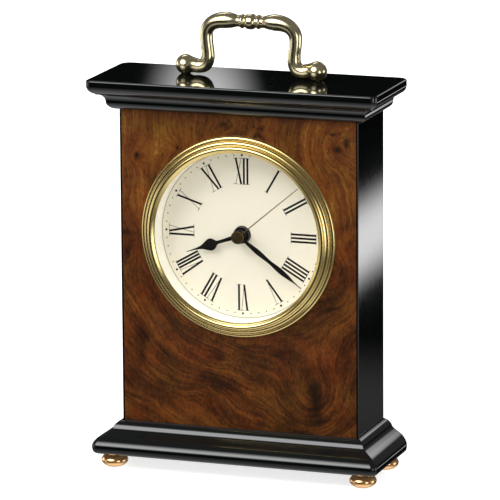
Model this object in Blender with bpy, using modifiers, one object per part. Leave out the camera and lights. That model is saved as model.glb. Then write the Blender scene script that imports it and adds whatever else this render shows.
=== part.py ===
"""Quartz carriage clock: lacquered wooden case with a hinged back door, brass handle,
feet and bezel, a dial with three hands, and the battery movement that drives them.

Every size is in millimetres and is turned into metres as a piece is built. +Z is up,
the dial looks along -Y, and the origin is on the table under the middle of the clock.
"""

import math

import bmesh
import bpy
from mathutils import Vector

MM = 0.001
GAP = 0.3  # between two fixed pieces that touch
PLAY = 0.2  # between a shaft and the hole that it turns in

# Case
BODY_HALF_WIDTH = 52.5
BODY_FRONT, BODY_BACK = -12.5, 22.2
BODY_BOTTOM, BODY_TOP = 19.8, 154.0
BASE_BOTTOM, TOP_SURFACE = 6.5, 167.3
TOP_OVERHANG, BASE_OVERHANG, BASE_BACK_OVERHANG = 11.3, 11.0, 1.6
SIDE_THICKNESS = 6.3
SIDE_INSIDE = BODY_HALF_WIDTH - SIDE_THICKNESS
VENEER_BACK = BODY_FRONT + 0.6
VENEER_MARGIN = 0.9
BOARD_FRONT, BOARD_BACK = VENEER_BACK + GAP, -6.7
MIDDLE = (BODY_FRONT + BODY_BACK) / 2

# Feet and handle
FOOT_RADIUS, FOOT_X, FOOT_Y = 5.7, 55.4, 15.3
FOOT_PILOT_TOP = 12.8  # of the blind hole for each foot's screw
HANDLE_BALL_X, HANDLE_BALL_RADIUS = 29.2, 4.1
HANDLE_BALL_HEIGHT = HANDLE_BALL_RADIUS + GAP

# Back door
DOOR_FRONT, DOOR_BACK = 14.0, 17.0
DOOR_BOTTOM, DOOR_TOP = BODY_BOTTOM + 0.8, BODY_TOP - 0.8
DOOR_HINGE_EDGE, DOOR_FREE_EDGE = -44.1, 45.6
HINGE_PIN_X, HINGE_PIN_Y = -44.9, 18.4
HINGE_HEIGHTS = (44.0, 130.0)

# Dial opening
DIAL_Z = 102.5
DIAL_FRONT, DIAL_BACK = -7.2, -6.7
DIAL_RADIUS = 37.4
BORE_RADIUS = 37.9
SLEEVE_RADIUS, OPENING_RADIUS = 38.5, 38.8
RIDGE_RADIUS = 1.2
RIDGES = ((41.7, GAP), (39.8, 1.8), (37.9, 3.3))  # radius and height of each, outermost first
SHELF_HEIGHT = 3.0  # of the shelf that the glass sits behind

# Hands: clock angles in degrees from XII, and the plane of each
HOUR_ANGLE, MINUTE_ANGLE, SECONDS_ANGLE = 250.6, 126.9, 50.0
HOUR_PLANE, MINUTE_PLANE, SECONDS_PLANE = -9.2, -11.4, -13.4
HAND_THICKNESS = 0.35

# Movement
PLATE_FRONT, PLATE_BACK = -6.4, -5.4
CASE_FRONT, CASE_BACK = PLATE_BACK + GAP, 9.7
MOVEMENT_HALF = 28.0
TRAIN_WALL_BACK = 8.3
BATTERY_RADIUS, BATTERY_HALF_LENGTH = 7.25, 25.2
BATTERY_Y, BATTERY_Z = 2.35, DIAL_Z - 19.0
ARBOR_BACK = TRAIN_WALL_BACK + 0.6

# Gears: leaves of each pinion, teeth of each wheel and module of each mesh
PINION_LEAVES = 6
FIFTH_TEETH, SECONDS_TEETH, THIRD_TEETH, CENTRE_TEETH = 30, 36, 45, 48
MOTION_LEAVES, MINUTE_TEETH, HOUR_TEETH = 8, 24, 32
MOST_LEAVES = 12
ROTOR_MODULE = THIRD_MODULE = 0.36
SECONDS_MODULE = CENTRE_MODULE = 0.34
MINUTE_MODULE, HOUR_MODULE = 0.6, 0.48
ADDENDUM, DEDENDUM = 0.7, 1.1
TIP_SHARE, ROOT_SHARE = 0.13, 0.36  # of one tooth's pitch

FACING_FRONT = (math.pi / 2, 0.0, 0.0)  # local +Z looks out of the dial
UPRIGHT = (0.0, 0.0, 0.0)
FACING_RIGHT = (0.0, math.pi / 2, 0.0)  # local +Z points along +X
FACING_BACK = (-math.pi / 2, 0.0, 0.0)

# Colour, roughness and metallic value
FINISHES = {
    "black_lacquer": ((0.012, 0.012, 0.013), 0.08, 0.0),
    "burl_veneer": ((0.20, 0.065, 0.018), 0.12, 0.0),
    "bare_board": ((0.36, 0.25, 0.15), 0.8, 0.0),
    "polished_brass": ((0.83, 0.68, 0.36), 0.12, 1.0),
    "copper_brass": ((0.80, 0.50, 0.26), 0.15, 1.0),
    "glass": ((0.95, 0.97, 0.96), 0.02, 0.0),
    "white_card": ((0.85, 0.84, 0.82), 0.5, 0.0),
    "ivory_paint": ((0.90, 0.86, 0.72), 0.45, 0.0),
    "black_paint": ((0.01, 0.01, 0.01), 0.35, 0.0),
    "bronze": ((0.22, 0.15, 0.08), 0.3, 1.0),
    "black_plastic": ((0.025, 0.025, 0.027), 0.45, 0.0),
    "white_plastic": ((0.80, 0.80, 0.77), 0.4, 0.0),
    "green_board": ((0.03, 0.18, 0.08), 0.45, 0.0),
    "copper_wire": ((0.60, 0.24, 0.10), 0.35, 1.0),
    "steel": ((0.60, 0.61, 0.63), 0.3, 1.0),
    "dark_magnet": ((0.09, 0.09, 0.10), 0.4, 0.0),
    "battery_label": ((0.10, 0.16, 0.36), 0.35, 0.0),
}


# Scene and building blocks


def clear_scene():
    for obj in list(bpy.data.objects):
        bpy.data.objects.remove(obj, do_unlink=True)


def new_collection(name):
    made = bpy.data.collections.new(name)
    bpy.context.scene.collection.children.link(made)
    return made


def finish(name):
    if name in bpy.data.materials:
        return bpy.data.materials[name]
    colour, roughness, metallic = FINISHES[name]
    made = bpy.data.materials.new(name)
    made.use_nodes = True
    shader = made.node_tree.nodes["Principled BSDF"]
    shader.inputs["Base Color"].default_value = (*colour, 1.0)
    shader.inputs["Roughness"].default_value = roughness
    shader.inputs["Metallic"].default_value = metallic
    if name == "glass":
        shader.inputs["Transmission Weight"].default_value = 1.0
    return made


def add(name, mesh, look, at, turn=UPRIGHT):
    """Puts a mesh into the clock, at a place in millimetres."""
    mesh.materials.clear()
    mesh.materials.append(finish(look))
    obj = bpy.data.objects.new(name, mesh)
    PARTS.objects.link(obj)
    obj.location = Vector(at) * MM
    obj.rotation_euler = turn
    return obj


def box(name, low, high, look, bevel=0.0):
    low, high = Vector(low), Vector(high)
    bm = bmesh.new()
    bmesh.ops.create_cube(bm, size=1.0)
    bmesh.ops.scale(bm, vec=(high - low) * MM, verts=bm.verts)
    mesh = bpy.data.meshes.new(name)
    bm.to_mesh(mesh)
    bm.free()
    obj = add(name, mesh, look, (low + high) / 2)
    if bevel:
        rounding = obj.modifiers.new("rounded_edges", "BEVEL")
        rounding.width = bevel * MM
        rounding.segments = 2
    return obj


def turned(name, profile, look, at, turn=UPRIGHT, steps=32):
    """Spins (radius, height) points, which run down the outer side, round local Z.

    A profile that starts on the axis makes a solid, and any other is closed into a ring.
    """
    bm = bmesh.new()
    verts = [bm.verts.new((radius * MM, 0.0, height * MM)) for radius, height in profile]
    ends = verts[1:] + verts[:1] if profile[0][0] > 0 else verts[1:]
    for first, second in zip(verts, ends):
        bm.edges.new((first, second))
    mesh = bpy.data.meshes.new(name)
    bm.to_mesh(mesh)
    bm.free()
    obj = add(name, mesh, look, at, turn)
    screw = obj.modifiers.new("turn", "SCREW")
    screw.steps = screw.render_steps = steps
    screw.use_merge_vertices = True
    screw.merge_threshold = 0.00001
    screw.use_smooth_shade = True
    return obj


def post(name, radius, low, high, look, at, turn=FACING_FRONT, steps=12):
    """A plain cylinder between two heights on local Z."""
    profile = [(0.0, high), (radius, high), (radius, low), (0.0, low)]
    return turned(name, profile, look, at, turn, steps)


def tube(name, outer, inner, low, high, look, at, turn=FACING_FRONT, steps=24):
    profile = [(outer, high), (outer, low), (inner, low), (inner, high)]
    return turned(name, profile, look, at, turn, steps)


def mesh_of_curve(curve, scale=1.0):
    """The mesh of a curve with its caps welded on."""
    guide = bpy.data.objects.new("guide", curve)
    bpy.context.scene.collection.objects.link(guide)
    graph = bpy.context.evaluated_depsgraph_get()
    mesh = bpy.data.meshes.new_from_object(guide.evaluated_get(graph))
    bpy.data.objects.remove(guide, do_unlink=True)
    bm = bmesh.new()
    bm.from_mesh(mesh)
    bmesh.ops.scale(bm, vec=(scale, scale, scale), verts=bm.verts)
    bmesh.ops.remove_doubles(bm, verts=bm.verts, dist=0.000002)
    bmesh.ops.recalc_face_normals(bm, faces=bm.faces)
    bm.to_mesh(mesh)
    bm.free()
    return mesh


def flat(name, outlines, thickness, look, at, turn=FACING_FRONT):
    """A flat piece: the first outline is its edge and the others are holes."""
    curve = bpy.data.curves.new(name, "CURVE")
    curve.dimensions = "2D"
    curve.fill_mode = "BOTH"
    curve.extrude = thickness / 2
    for outline in outlines:
        spline = curve.splines.new("POLY")
        spline.points.add(len(outline) - 1)
        for point, (x, y) in zip(spline.points, outline):
            point.co = (x, y, 0.0, 1.0)
        spline.use_cyclic_u = True
    return add(name, mesh_of_curve(curve, MM), look, at, turn)


def plate(name, outlines, front, back, look, x=0.0, z=DIAL_Z):
    """A flat piece parallel to the dial, between two values of Y."""
    return flat(name, outlines, back - front, look, (x, (front + back) / 2, z))


def round_edges_smooth(obj):
    obj.data.shade_smooth()
    obj.data.set_sharp_from_angle(angle=math.radians(40))
    return obj


def combine(obj, other, operation):
    """Joins another object to this one, or cuts it away, with a Boolean."""
    other.hide_render = True
    other.display_type = "WIRE"
    PARTS.objects.unlink(other)
    CUTTERS.objects.link(other)
    boolean = obj.modifiers.new(f"{operation}_{other.name}".lower(), "BOOLEAN")
    boolean.operation = operation
    boolean.solver = "EXACT"
    boolean.object = other
    return obj


def join(obj, *others):
    for other in others:
        combine(obj, other, "UNION")
    return obj


def cut(obj, *others):
    for other in others:
        combine(obj, other, "DIFFERENCE")
    return obj


# Outlines


def circle(radius, x=0.0, y=0.0, steps=32):
    turns = [math.tau * k / steps for k in range(steps)]
    return [(x + radius * math.cos(a), y + radius * math.sin(a)) for a in turns]


def rectangle(x0, y0, x1, y1):
    return [(x0, y0), (x1, y0), (x1, y1), (x0, y1)]


def arc(x, y, rx, ry, start, end, steps):
    """Points on an ellipse's arc, from one angle in degrees to another."""
    angles = [math.radians(start + (end - start) * k / steps) for k in range(steps + 1)]
    return [(x + rx * math.cos(a), y + ry * math.sin(a)) for a in angles]


def smooth(points, per_span):
    """A Catmull-Rom curve through points of any number of coordinates."""
    points = [Vector(p) for p in points]
    ends = [2 * points[0] - points[1]] + points + [2 * points[-1] - points[-2]]
    found = []
    for before, start, end, after in zip(ends, ends[1:], ends[2:], ends[3:]):
        for k in range(per_span):
            t = k / per_span
            found.append(
                0.5 * (2 * start + (end - before) * t
                       + (2 * before - 5 * start + 4 * end - after) * t**2
                       + (3 * start - before - 3 * end + after) * t**3)
            )
    return [tuple(p) for p in found] + [tuple(points[-1])]


def gear_outline(teeth, module, tooth_at=0.0):
    """Straight-sided teeth, with one centred on the angle tooth_at, in radians.

    A pinion's gaps have a floor, and a wheel's come to a point.
    """
    root = module * (teeth / 2 - DEDENDUM)
    tip = module * (teeth / 2 + ADDENDUM)
    corners = ((root, -ROOT_SHARE), (tip, -TIP_SHARE), (tip, TIP_SHARE), (root, ROOT_SHARE))
    if teeth > MOST_LEAVES:
        corners = ((root, -1.0), (tip, -TIP_SHARE), (tip, TIP_SHARE))
    points = []
    for k in range(teeth):
        for radius, share in corners:
            angle = tooth_at + (k + share / 2) * math.tau / teeth
            points.append((radius * math.cos(angle), radius * math.sin(angle)))
    return points


def meshing_angle(teeth, tooth_at, towards, partner_teeth):
    """Where the partner of a gear has a tooth, when it lies in direction towards."""
    offset = (tooth_at - towards) / (math.tau / teeth)
    pitch = math.tau / partner_teeth
    return towards + math.pi - offset * pitch + pitch / 2


# Case


def stacked_slab(name, levels, look):
    """A loft through rectangles, upwards: (half width, front, back, z) of each."""
    bm = bmesh.new()
    loops = []
    for half_width, front, back, z in levels:
        corners = ((-half_width, front), (half_width, front), (half_width, back), (-half_width, back))
        loops.append([bm.verts.new(Vector((x, y, z)) * MM) for x, y in corners])
    bm.faces.new(loops[0][::-1])
    bm.faces.new(loops[-1])
    for lower, upper in zip(loops, loops[1:]):
        for k in range(4):
            after = (k + 1) % 4
            bm.faces.new((lower[k], lower[after], upper[after], upper[k]))
    mesh = bpy.data.meshes.new(name)
    bm.to_mesh(mesh)
    bm.free()
    return round_edges_smooth(add(name, mesh, look, (0, 0, 0)))


def top_board():
    """Bead, cove and ovolo, which run round the front and the sides only."""
    bead = arc(0.0, 3.6, 4.5, 3.6, -80, 0, 6)
    cove = arc(8.1, 3.6, 3.6, 3.4, 180, 90, 6)[1:]
    ovolo = arc(7.3, 11.2, TOP_OVERHANG - 7.3, 4.0, -78, 0, 6)
    arris = arc(TOP_OVERHANG - 0.7, 12.6, 0.7, 0.7, 0, 90, 3)
    levels = [
        (BODY_HALF_WIDTH + out, BODY_FRONT - out, BODY_BACK, BODY_TOP + up)
        for out, up in [(0.0, 0.0)] + bead + cove + ovolo + arris
    ]
    board = stacked_slab("top_board", levels, "black_lacquer")
    for side, word in ((-1, "left"), (1, "right")):
        at = (side * HANDLE_BALL_X, MIDDLE, 0)
        hole = post(f"cut_top_{word}", 1.8, BODY_TOP - 1, TOP_SURFACE + 1, "steel", at, UPRIGHT)
        cut(board, hole)


def plinth_base():
    """A bullnose that sweeps up through a shallow cove into a bead, round the front and sides."""
    widest = BASE_OVERHANG
    outline = smooth(
        [(widest - 1.5, -14.3), (widest - 0.5, -13.4), (widest, -11.0), (widest - 0.6, -9.1),
         (widest - 2.5, -6.95), (5.6, -5.1), (3.75, -3.7), (2.9, -2.05), (1.5, -0.6), (0.0, 0.0)], 2)
    lowest = outline[0][1]
    levels = []
    for out, up in outline:
        z = BODY_BOTTOM + up * (BODY_BOTTOM - BASE_BOTTOM) / -lowest
        levels.append((BODY_HALF_WIDTH + out, BODY_FRONT - out, BODY_BACK + BASE_BACK_OVERHANG, z))
    base = stacked_slab("plinth_base", levels, "black_lacquer")
    for name, x, y in foot_places():
        at = (x, y, 0)
        cut(base, post(f"cut_base_{name}", 1.5, BASE_BOTTOM - 1, FOOT_PILOT_TOP, "steel", at, UPRIGHT, 10))


def side_panel(word, side):
    """A board with a rebate at its front inner edge, which the veneer laps over."""
    lap = BODY_HALF_WIDTH - VENEER_MARGIN + GAP
    chamfer = 0.5
    outline = [
        (SIDE_INSIDE, BODY_BACK),
        (SIDE_INSIDE, VENEER_BACK + GAP),
        (lap, VENEER_BACK + GAP),
        (lap, BODY_FRONT),
        (BODY_HALF_WIDTH - chamfer / 2, BODY_FRONT),
        (BODY_HALF_WIDTH, BODY_FRONT + chamfer / 2),
        (BODY_HALF_WIDTH, BODY_BACK - chamfer),
        (BODY_HALF_WIDTH - chamfer, BODY_BACK),
    ]
    outline = [(side * x, y) for x, y in outline]
    height = BODY_TOP - BODY_BOTTOM - 2 * GAP
    at = (0, 0, (BODY_TOP + BODY_BOTTOM) / 2)
    flat(f"{word}_side_panel", [outline], height, "black_lacquer", at, UPRIGHT)


def front_pieces():
    low, high = BODY_BOTTOM + GAP - DIAL_Z, BODY_TOP - GAP - DIAL_Z
    opening = circle(OPENING_RADIUS, steps=56)
    half = SIDE_INSIDE - GAP
    board = [rectangle(-half, low, half, high), opening]
    holes = [circle(1.2, x, z, 8) for x, z in ear_places()]
    plate("front_board", board + holes, BOARD_FRONT, BOARD_BACK, "bare_board")
    half = BODY_HALF_WIDTH - VENEER_MARGIN
    margin = 0.6
    sheet = [rectangle(-half, low + margin, half, high - margin), opening]
    plate("burl_veneer_panel", sheet, BODY_FRONT, VENEER_BACK, "burl_veneer")


# Feet and handle


def foot_places():
    return [
        (f"{row}_{word}", side * FOOT_X, y)
        for row, y in (("front", -FOOT_Y), ("rear", FOOT_Y))
        for word, side in (("left", -1), ("right", 1))
    ]


def feet():
    """Turned bun feet, each held by a screw from below in a counterbore."""
    height = BASE_BOTTOM - GAP
    middle = 2.95
    bun = arc(0.0, middle, FOOT_RADIUS, 2.85, 62, -70, 7)
    sole = 3.9
    bun = [(radius, z) for radius, z in bun if radius > sole] + [(sole, 0.0)]
    profile = [(3.3, height), (3.3, 5.5)] + bun + [(2.3, 0.0), (2.3, 2.2), (1.5, 2.2), (1.5, height)]
    screw = [(0.0, 12.4), (0.5, 12.0), (1.2, 10.8), (1.2, 1.9), (2.0, 1.9), (2.0, 0.7), (0.0, 0.7)]
    for name, x, y in foot_places():
        turned(f"foot_{name}", profile, "copper_brass", (x, y, 0), steps=16)
        turned(f"foot_screw_{name}", screw, "steel", (x, y, 0), steps=10)


def handle_half():
    """(x, height, radius) along the right half, from the middle of the grip to the ball."""
    ornament = [
        (0.0, 23.4, 3.35), (0.9, 23.4, 3.3), (1.7, 23.4, 2.95), (2.2, 23.4, 2.55), (2.8, 23.4, 2.6),
        (3.3, 23.4, 3.05), (3.9, 23.4, 3.05), (4.4, 23.4, 2.6), (5.6, 23.4, 2.4),
    ]
    bend = smooth(
        [(5.6, 23.4, 2.4), (8.2, 23.5, 3.15), (11.0, 23.5, 3.5), (14.6, 23.0, 3.3),
         (17.6, 21.5, 3.0), (19.5, 18.6, 2.8), (19.6, 14.6, 2.7), (19.1, 10.3, 2.7),
         (19.1, 6.9, 2.85), (20.4, 4.3, 3.0), (22.9, 3.6, 2.95), (25.0, 3.9, 3.1)], 2
    )
    ball = [
        (HANDLE_BALL_X + HANDLE_BALL_RADIUS * math.cos(a), HANDLE_BALL_HEIGHT,
         HANDLE_BALL_RADIUS * math.sin(a))
        for a in (math.radians(d) for d in (130, 110, 90, 70, 50, 30, 12))
    ]
    return ornament + bend[1:] + ball


def handle():
    """One casting: a swelling grip with a beaded middle, two S-shaped legs and end balls."""
    right = handle_half()
    left = [(-x, height, radius) for x, height, radius in right[:0:-1]]
    curve = bpy.data.curves.new("handle", "CURVE")
    curve.dimensions = "3D"
    curve.bevel_depth = 1.0
    curve.bevel_resolution = 2
    curve.use_fill_caps = True
    curve.twist_mode = "MINIMUM"
    spline = curve.splines.new("POLY")
    points = left + right
    spline.points.add(len(points) - 1)
    for point, (x, height, radius) in zip(spline.points, points):
        point.co = (x, 0.0, height, 1.0)
        point.radius = radius
    mesh = mesh_of_curve(curve, MM)
    mesh.shade_smooth()
    casting = add("handle", mesh, "polished_brass", (0, MIDDLE, TOP_SURFACE))
    screw = [(0.0, 171.2), (1.3, 170.4), (1.3, 153.6), (3.0, 153.6), (3.0, 151.8), (0.0, 151.2)]
    for side, word in ((-1, "left"), (1, "right")):
        at = (side * HANDLE_BALL_X, MIDDLE, 0)
        bore = post(f"cut_handle_{word}", 1.6, TOP_SURFACE - 2, 171.6, "steel", at, UPRIGHT, 10)
        cut(casting, bore)
        turned(f"handle_screw_{word}", screw, "steel", at, steps=10)


# Back door


def hinge(word, z):
    """A butt hinge: the case leaf has the two outer knuckles and the door leaf the middle one."""
    knuckle, bore, pin_radius = 1.1, 0.75, 0.55
    height, third = 18.0, 6.0  # the three knuckles are a third of the hinge each
    at = (HINGE_PIN_X, HINGE_PIN_Y, z)
    leaves = (
        ("case", HINGE_PIN_X - 0.7, ((third / 2, height / 2), (-height / 2, -third / 2))),
        ("door", HINGE_PIN_X + 0.2, ((-third / 2 + GAP, third / 2 - GAP),)),
    )
    near, far = HINGE_PIN_Y - knuckle - GAP, HINGE_PIN_Y - 4.2
    for owner, x, spans in leaves:
        name = f"{word}_hinge_{owner}_leaf"
        leaf = box(name, (x - 0.3, far, z - height / 2), (x + 0.3, near, z + height / 2), "polished_brass")
        for index, (low, high) in enumerate(spans):
            tab = box(f"{name}_tab_{index}", (x - 0.3, near - 0.5, z + low),
                      (x + 0.3, HINGE_PIN_Y - 0.2, z + high), "polished_brass")
            roll = post(f"{name}_roll_{index}", knuckle, low, high, "polished_brass", at, UPRIGHT, 10)
            join(leaf, tab, roll)
        cut(leaf, post(f"{name}_bore", bore, -height, height, "steel", at, UPRIGHT, 10))
    post(f"{word}_hinge_pin", pin_radius, -height / 2, height / 2, "steel", at, UPRIGHT, 8)


def back_door():
    door = box("back_door", (DOOR_HINGE_EDGE, DOOR_FRONT, DOOR_BOTTOM),
               (DOOR_FREE_EDGE, DOOR_BACK, DOOR_TOP), "black_lacquer")
    knob_at = (38.0, DOOR_BACK, (DOOR_BOTTOM + DOOR_TOP) / 2)
    cut(door, post("cut_door_knob", 1.5, -1.8, 1.0, "steel", knob_at, FACING_BACK, 12))
    knob = [(0.0, 4.7), (2.6, 4.5), (4.0, 3.9), (4.3, 3.1), (3.6, 2.2), (2.0, 1.7), (1.8, 0.9),
            (2.6, GAP), (1.2, GAP), (1.2, -1.5), (0.0, -1.5)]
    turned("door_knob", knob, "polished_brass", knob_at, FACING_BACK, 20)
    for word, z in zip(("lower", "upper"), HINGE_HEIGHTS):
        hinge(word, z)
    catch_low, catch_high = 80.0, 94.0
    box("catch_magnet", (40.5, 7.0, catch_low), (SIDE_INSIDE - GAP, 12.6, catch_high), "dark_magnet", 0.4)
    box("catch_plate", (39.5, 12.9, catch_low), (44.9, DOOR_FRONT - GAP, catch_high), "steel")


# Dial, bezel and glass


def bezel():
    """Three rounded ridges that step up inwards, a flange over the glass's edge, and a sleeve."""
    profile = []
    for (radius, out), end in zip(RIDGES, (108, 108, 140)):
        profile += arc(radius, out, RIDGE_RADIUS, RIDGE_RADIUS, 0, end, 4)
    profile += [(36.35, 3.6), (36.1, 3.3), (36.1, SHELF_HEIGHT), (BORE_RADIUS, SHELF_HEIGHT)]
    profile += [(BORE_RADIUS, -5.6), (SLEEVE_RADIUS, -5.6), (SLEEVE_RADIUS, GAP)]
    turned("bezel", profile[::-1], "polished_brass", (0, BODY_FRONT, DIAL_Z), FACING_FRONT, 48)


def dial_pieces():
    at = (0, BODY_FRONT, DIAL_Z)
    seat = BORE_RADIUS - GAP
    glass = [(0.0, 2.7), (seat, 2.7), (seat, 1.9), (0.0, 1.9)]
    turned("glass", glass, "glass", at, FACING_FRONT, 56)
    behind = BODY_FRONT - DIAL_FRONT + GAP
    ring = [(seat, 0.6), (seat, behind), (36.0, behind), (37.0, 0.6)]
    turned("rehaut_ring", ring, "white_card", at, FACING_FRONT, 56)
    outlines = [circle(DIAL_RADIUS, steps=56), circle(3.75, steps=24)]
    plate("dial", outlines, DIAL_FRONT, DIAL_BACK, "ivory_paint")


# Hands


def hand_outline(stations, hub_radius):
    """A hand that points up: half widths at distances from its centre, and a round hub."""
    reach, half_width = stations[0]
    start = math.degrees(math.atan2(reach, half_width))
    hub = arc(0.0, 0.0, hub_radius, hub_radius, 180 - start, 360 + start, 18)
    right = [(half, along) for along, half in smooth(stations, 3)]
    left = [(-half, along) for half, along in right[::-1]]
    return hub + right[1:] + left[:-1]


def hand(name, stations, hub_radius, bore, plane, angle, thickness, look):
    outlines = [hand_outline(stations, hub_radius), circle(bore, steps=16)]
    turn = (math.pi / 2, math.radians(angle), 0.0)
    flat(name, outlines, thickness, look, (0, plane, DIAL_Z), turn)


def hands():
    spade = [(3.37, 0.75), (8.0, 0.6), (11.4, 0.65), (12.6, 1.6), (14.0, 2.5), (15.4, 2.5),
             (17.2, 1.5), (19.3, 0.6), (22.0, 0.3), (25.7, 0.12)]
    leaf = [(2.5, 0.5), (8.0, 0.75), (13.6, 1.1), (18.8, 0.72), (24.2, 1.1), (28.2, 0.6), (30.4, 0.22),
            (34.0, 0.12)]
    needle = [(1.8, 0.14), (34.8, 0.1)]
    hand("hour_hand", spade, 3.45, 2.65, HOUR_PLANE, HOUR_ANGLE, HAND_THICKNESS, "black_paint")
    hand("minute_hand", leaf, 2.6, 1.65, MINUTE_PLANE, MINUTE_ANGLE, HAND_THICKNESS, "black_paint")
    hand("seconds_hand", needle, 1.8, 0.65, SECONDS_PLANE, SECONDS_ANGLE, 0.2, "polished_brass")
    cap = [(0.0, 0.7), (2.5, 0.7), (2.75, 0.5), (2.75, 0.3), (0.0, 0.3)]
    turned("seconds_cap", cap, "bronze", (0, SECONDS_PLANE, DIAL_Z), FACING_FRONT, 24)


# Movement


def ear_places():
    """The two screws that hold the movement, from the dial's centre."""
    return [(-30.0, 30.0), (30.0, -30.0)]


def front_plate():
    """The movement's front, with the bush that stands through the dial and two ears."""
    half = MOVEMENT_HALF
    outline = rectangle(-half, -half, half, half)
    body = plate("movement_front_plate", [outline], PLATE_FRONT, PLATE_BACK, "black_plastic")
    for index, (x, z) in enumerate(ear_places()):
        lug = post(f"ear_{index}", 4.2, 0.0, PLATE_BACK - PLATE_FRONT, "steel",
                   (x, PLATE_BACK, DIAL_Z + z), FACING_FRONT, 12)
        join(body, lug)
        cut(body, post(f"cut_ear_{index}", 1.3, -1.0, 3.0, "steel",
                       (x, PLATE_BACK, DIAL_Z + z), FACING_FRONT, 8))
        screw = [(0.0, 4.6), (0.8, 4.0), (0.8, -GAP), (2.2, -GAP), (2.2, -1.5), (0.0, -1.7)]
        word = ("upper", "lower")[index]
        turned(f"movement_screw_{word}", screw, "steel", (x, PLATE_BACK, DIAL_Z + z), FACING_FRONT, 10)
    centre = (0, PLATE_BACK, DIAL_Z)
    join(body, post("bush", 3.45, 0.2, 3.2, "steel", centre, FACING_FRONT, 20))
    cut(body, post("cut_bush", 2.5 + PLAY, -1.0, 5.0, "steel", centre, FACING_FRONT, 20))


def back_case():
    """The movement's housing: the train's room opens to the front, the battery bay is cut through."""
    half, wall = MOVEMENT_HALF, 1.4
    inner = half - wall
    bay_top = BATTERY_Z + BATTERY_RADIUS + 0.6
    case = box("movement_back_case", (-half, CASE_FRONT, DIAL_Z - half), (half, CASE_BACK, DIAL_Z + half),
               "black_plastic", 0.6)
    room = box("cut_train_room", (-inner, CASE_FRONT - 1, bay_top + 1.2),
               (inner, TRAIN_WALL_BACK, DIAL_Z + inner), "steel")
    bay = box("cut_battery_bay", (-inner, CASE_FRONT - 1, DIAL_Z - inner),
              (inner, CASE_BACK + 1, bay_top), "steel")
    cut(case, room, bay)
    for name, (x, z) in ARBOR_PLACES.items():
        through = name == "setting"
        radius = 1.1 if through else 0.6
        depth = CASE_BACK + 1 if through else ARBOR_BACK + PLAY
        at = (x, 0, DIAL_Z + z)
        cut(case, post(f"cut_bearing_{name}", radius, -depth, -TRAIN_WALL_BACK + 1, "steel", at,
                       FACING_FRONT, 10))


def gear(name, place, layers, look, shaft, bore=0.0):
    """One moulded wheel and pinion on a shaft.

    layers are (outline, front, back), the widest first, and shaft is (radius, front, back).
    """
    x, z = place
    outline, front, back = layers[0]
    wheel = plate(name, [outline], front, back, look, x, DIAL_Z + z)
    wheel_middle = (front + back) / 2
    wheel.location = Vector((x, 0.0, DIAL_Z + z)) * MM
    for vert in wheel.data.vertices:
        vert.co.z -= wheel_middle * MM
    for index, (outline, front, back) in enumerate(layers[1:]):
        pinion = plate(f"{name}_pinion_{index}", [outline], front, back, look, x, DIAL_Z + z)
        join(wheel, pinion)
    radius, front, back = shaft
    at = (x, 0, DIAL_Z + z)
    steps = 12 if bore else 8
    join(wheel, post(f"{name}_shaft", radius, -back, -front, look, at, FACING_FRONT, steps))
    if bore:
        cut(wheel, post(f"cut_{name}_bore", bore, -back - 1, -front + 1, look, at, FACING_FRONT, steps))
    return wheel


def polar(distance, degrees):
    angle = math.radians(degrees)
    return (distance * math.cos(angle), distance * math.sin(angle))


THIRD_DIRECTION, SETTING_DIRECTION, FIFTH_DIRECTION = 160.0, 20.0, 90.0
THIRD_DISTANCE = THIRD_MODULE * (PINION_LEAVES + THIRD_TEETH) / 2
SETTING_DISTANCE = MINUTE_MODULE * (MOTION_LEAVES + MINUTE_TEETH) / 2
FIFTH_DISTANCE = SECONDS_MODULE * (PINION_LEAVES + SECONDS_TEETH) / 2
ROTOR_DISTANCE = ROTOR_MODULE * (PINION_LEAVES + FIFTH_TEETH) / 2
ARBOR_PLACES = {
    "centre": (0.0, 0.0),
    "third": polar(THIRD_DISTANCE, THIRD_DIRECTION),
    "setting": polar(SETTING_DISTANCE, SETTING_DIRECTION),
    "fifth": polar(FIFTH_DISTANCE, FIFTH_DIRECTION),
    "rotor": polar(FIFTH_DISTANCE + ROTOR_DISTANCE, FIFTH_DIRECTION),
}


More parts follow.
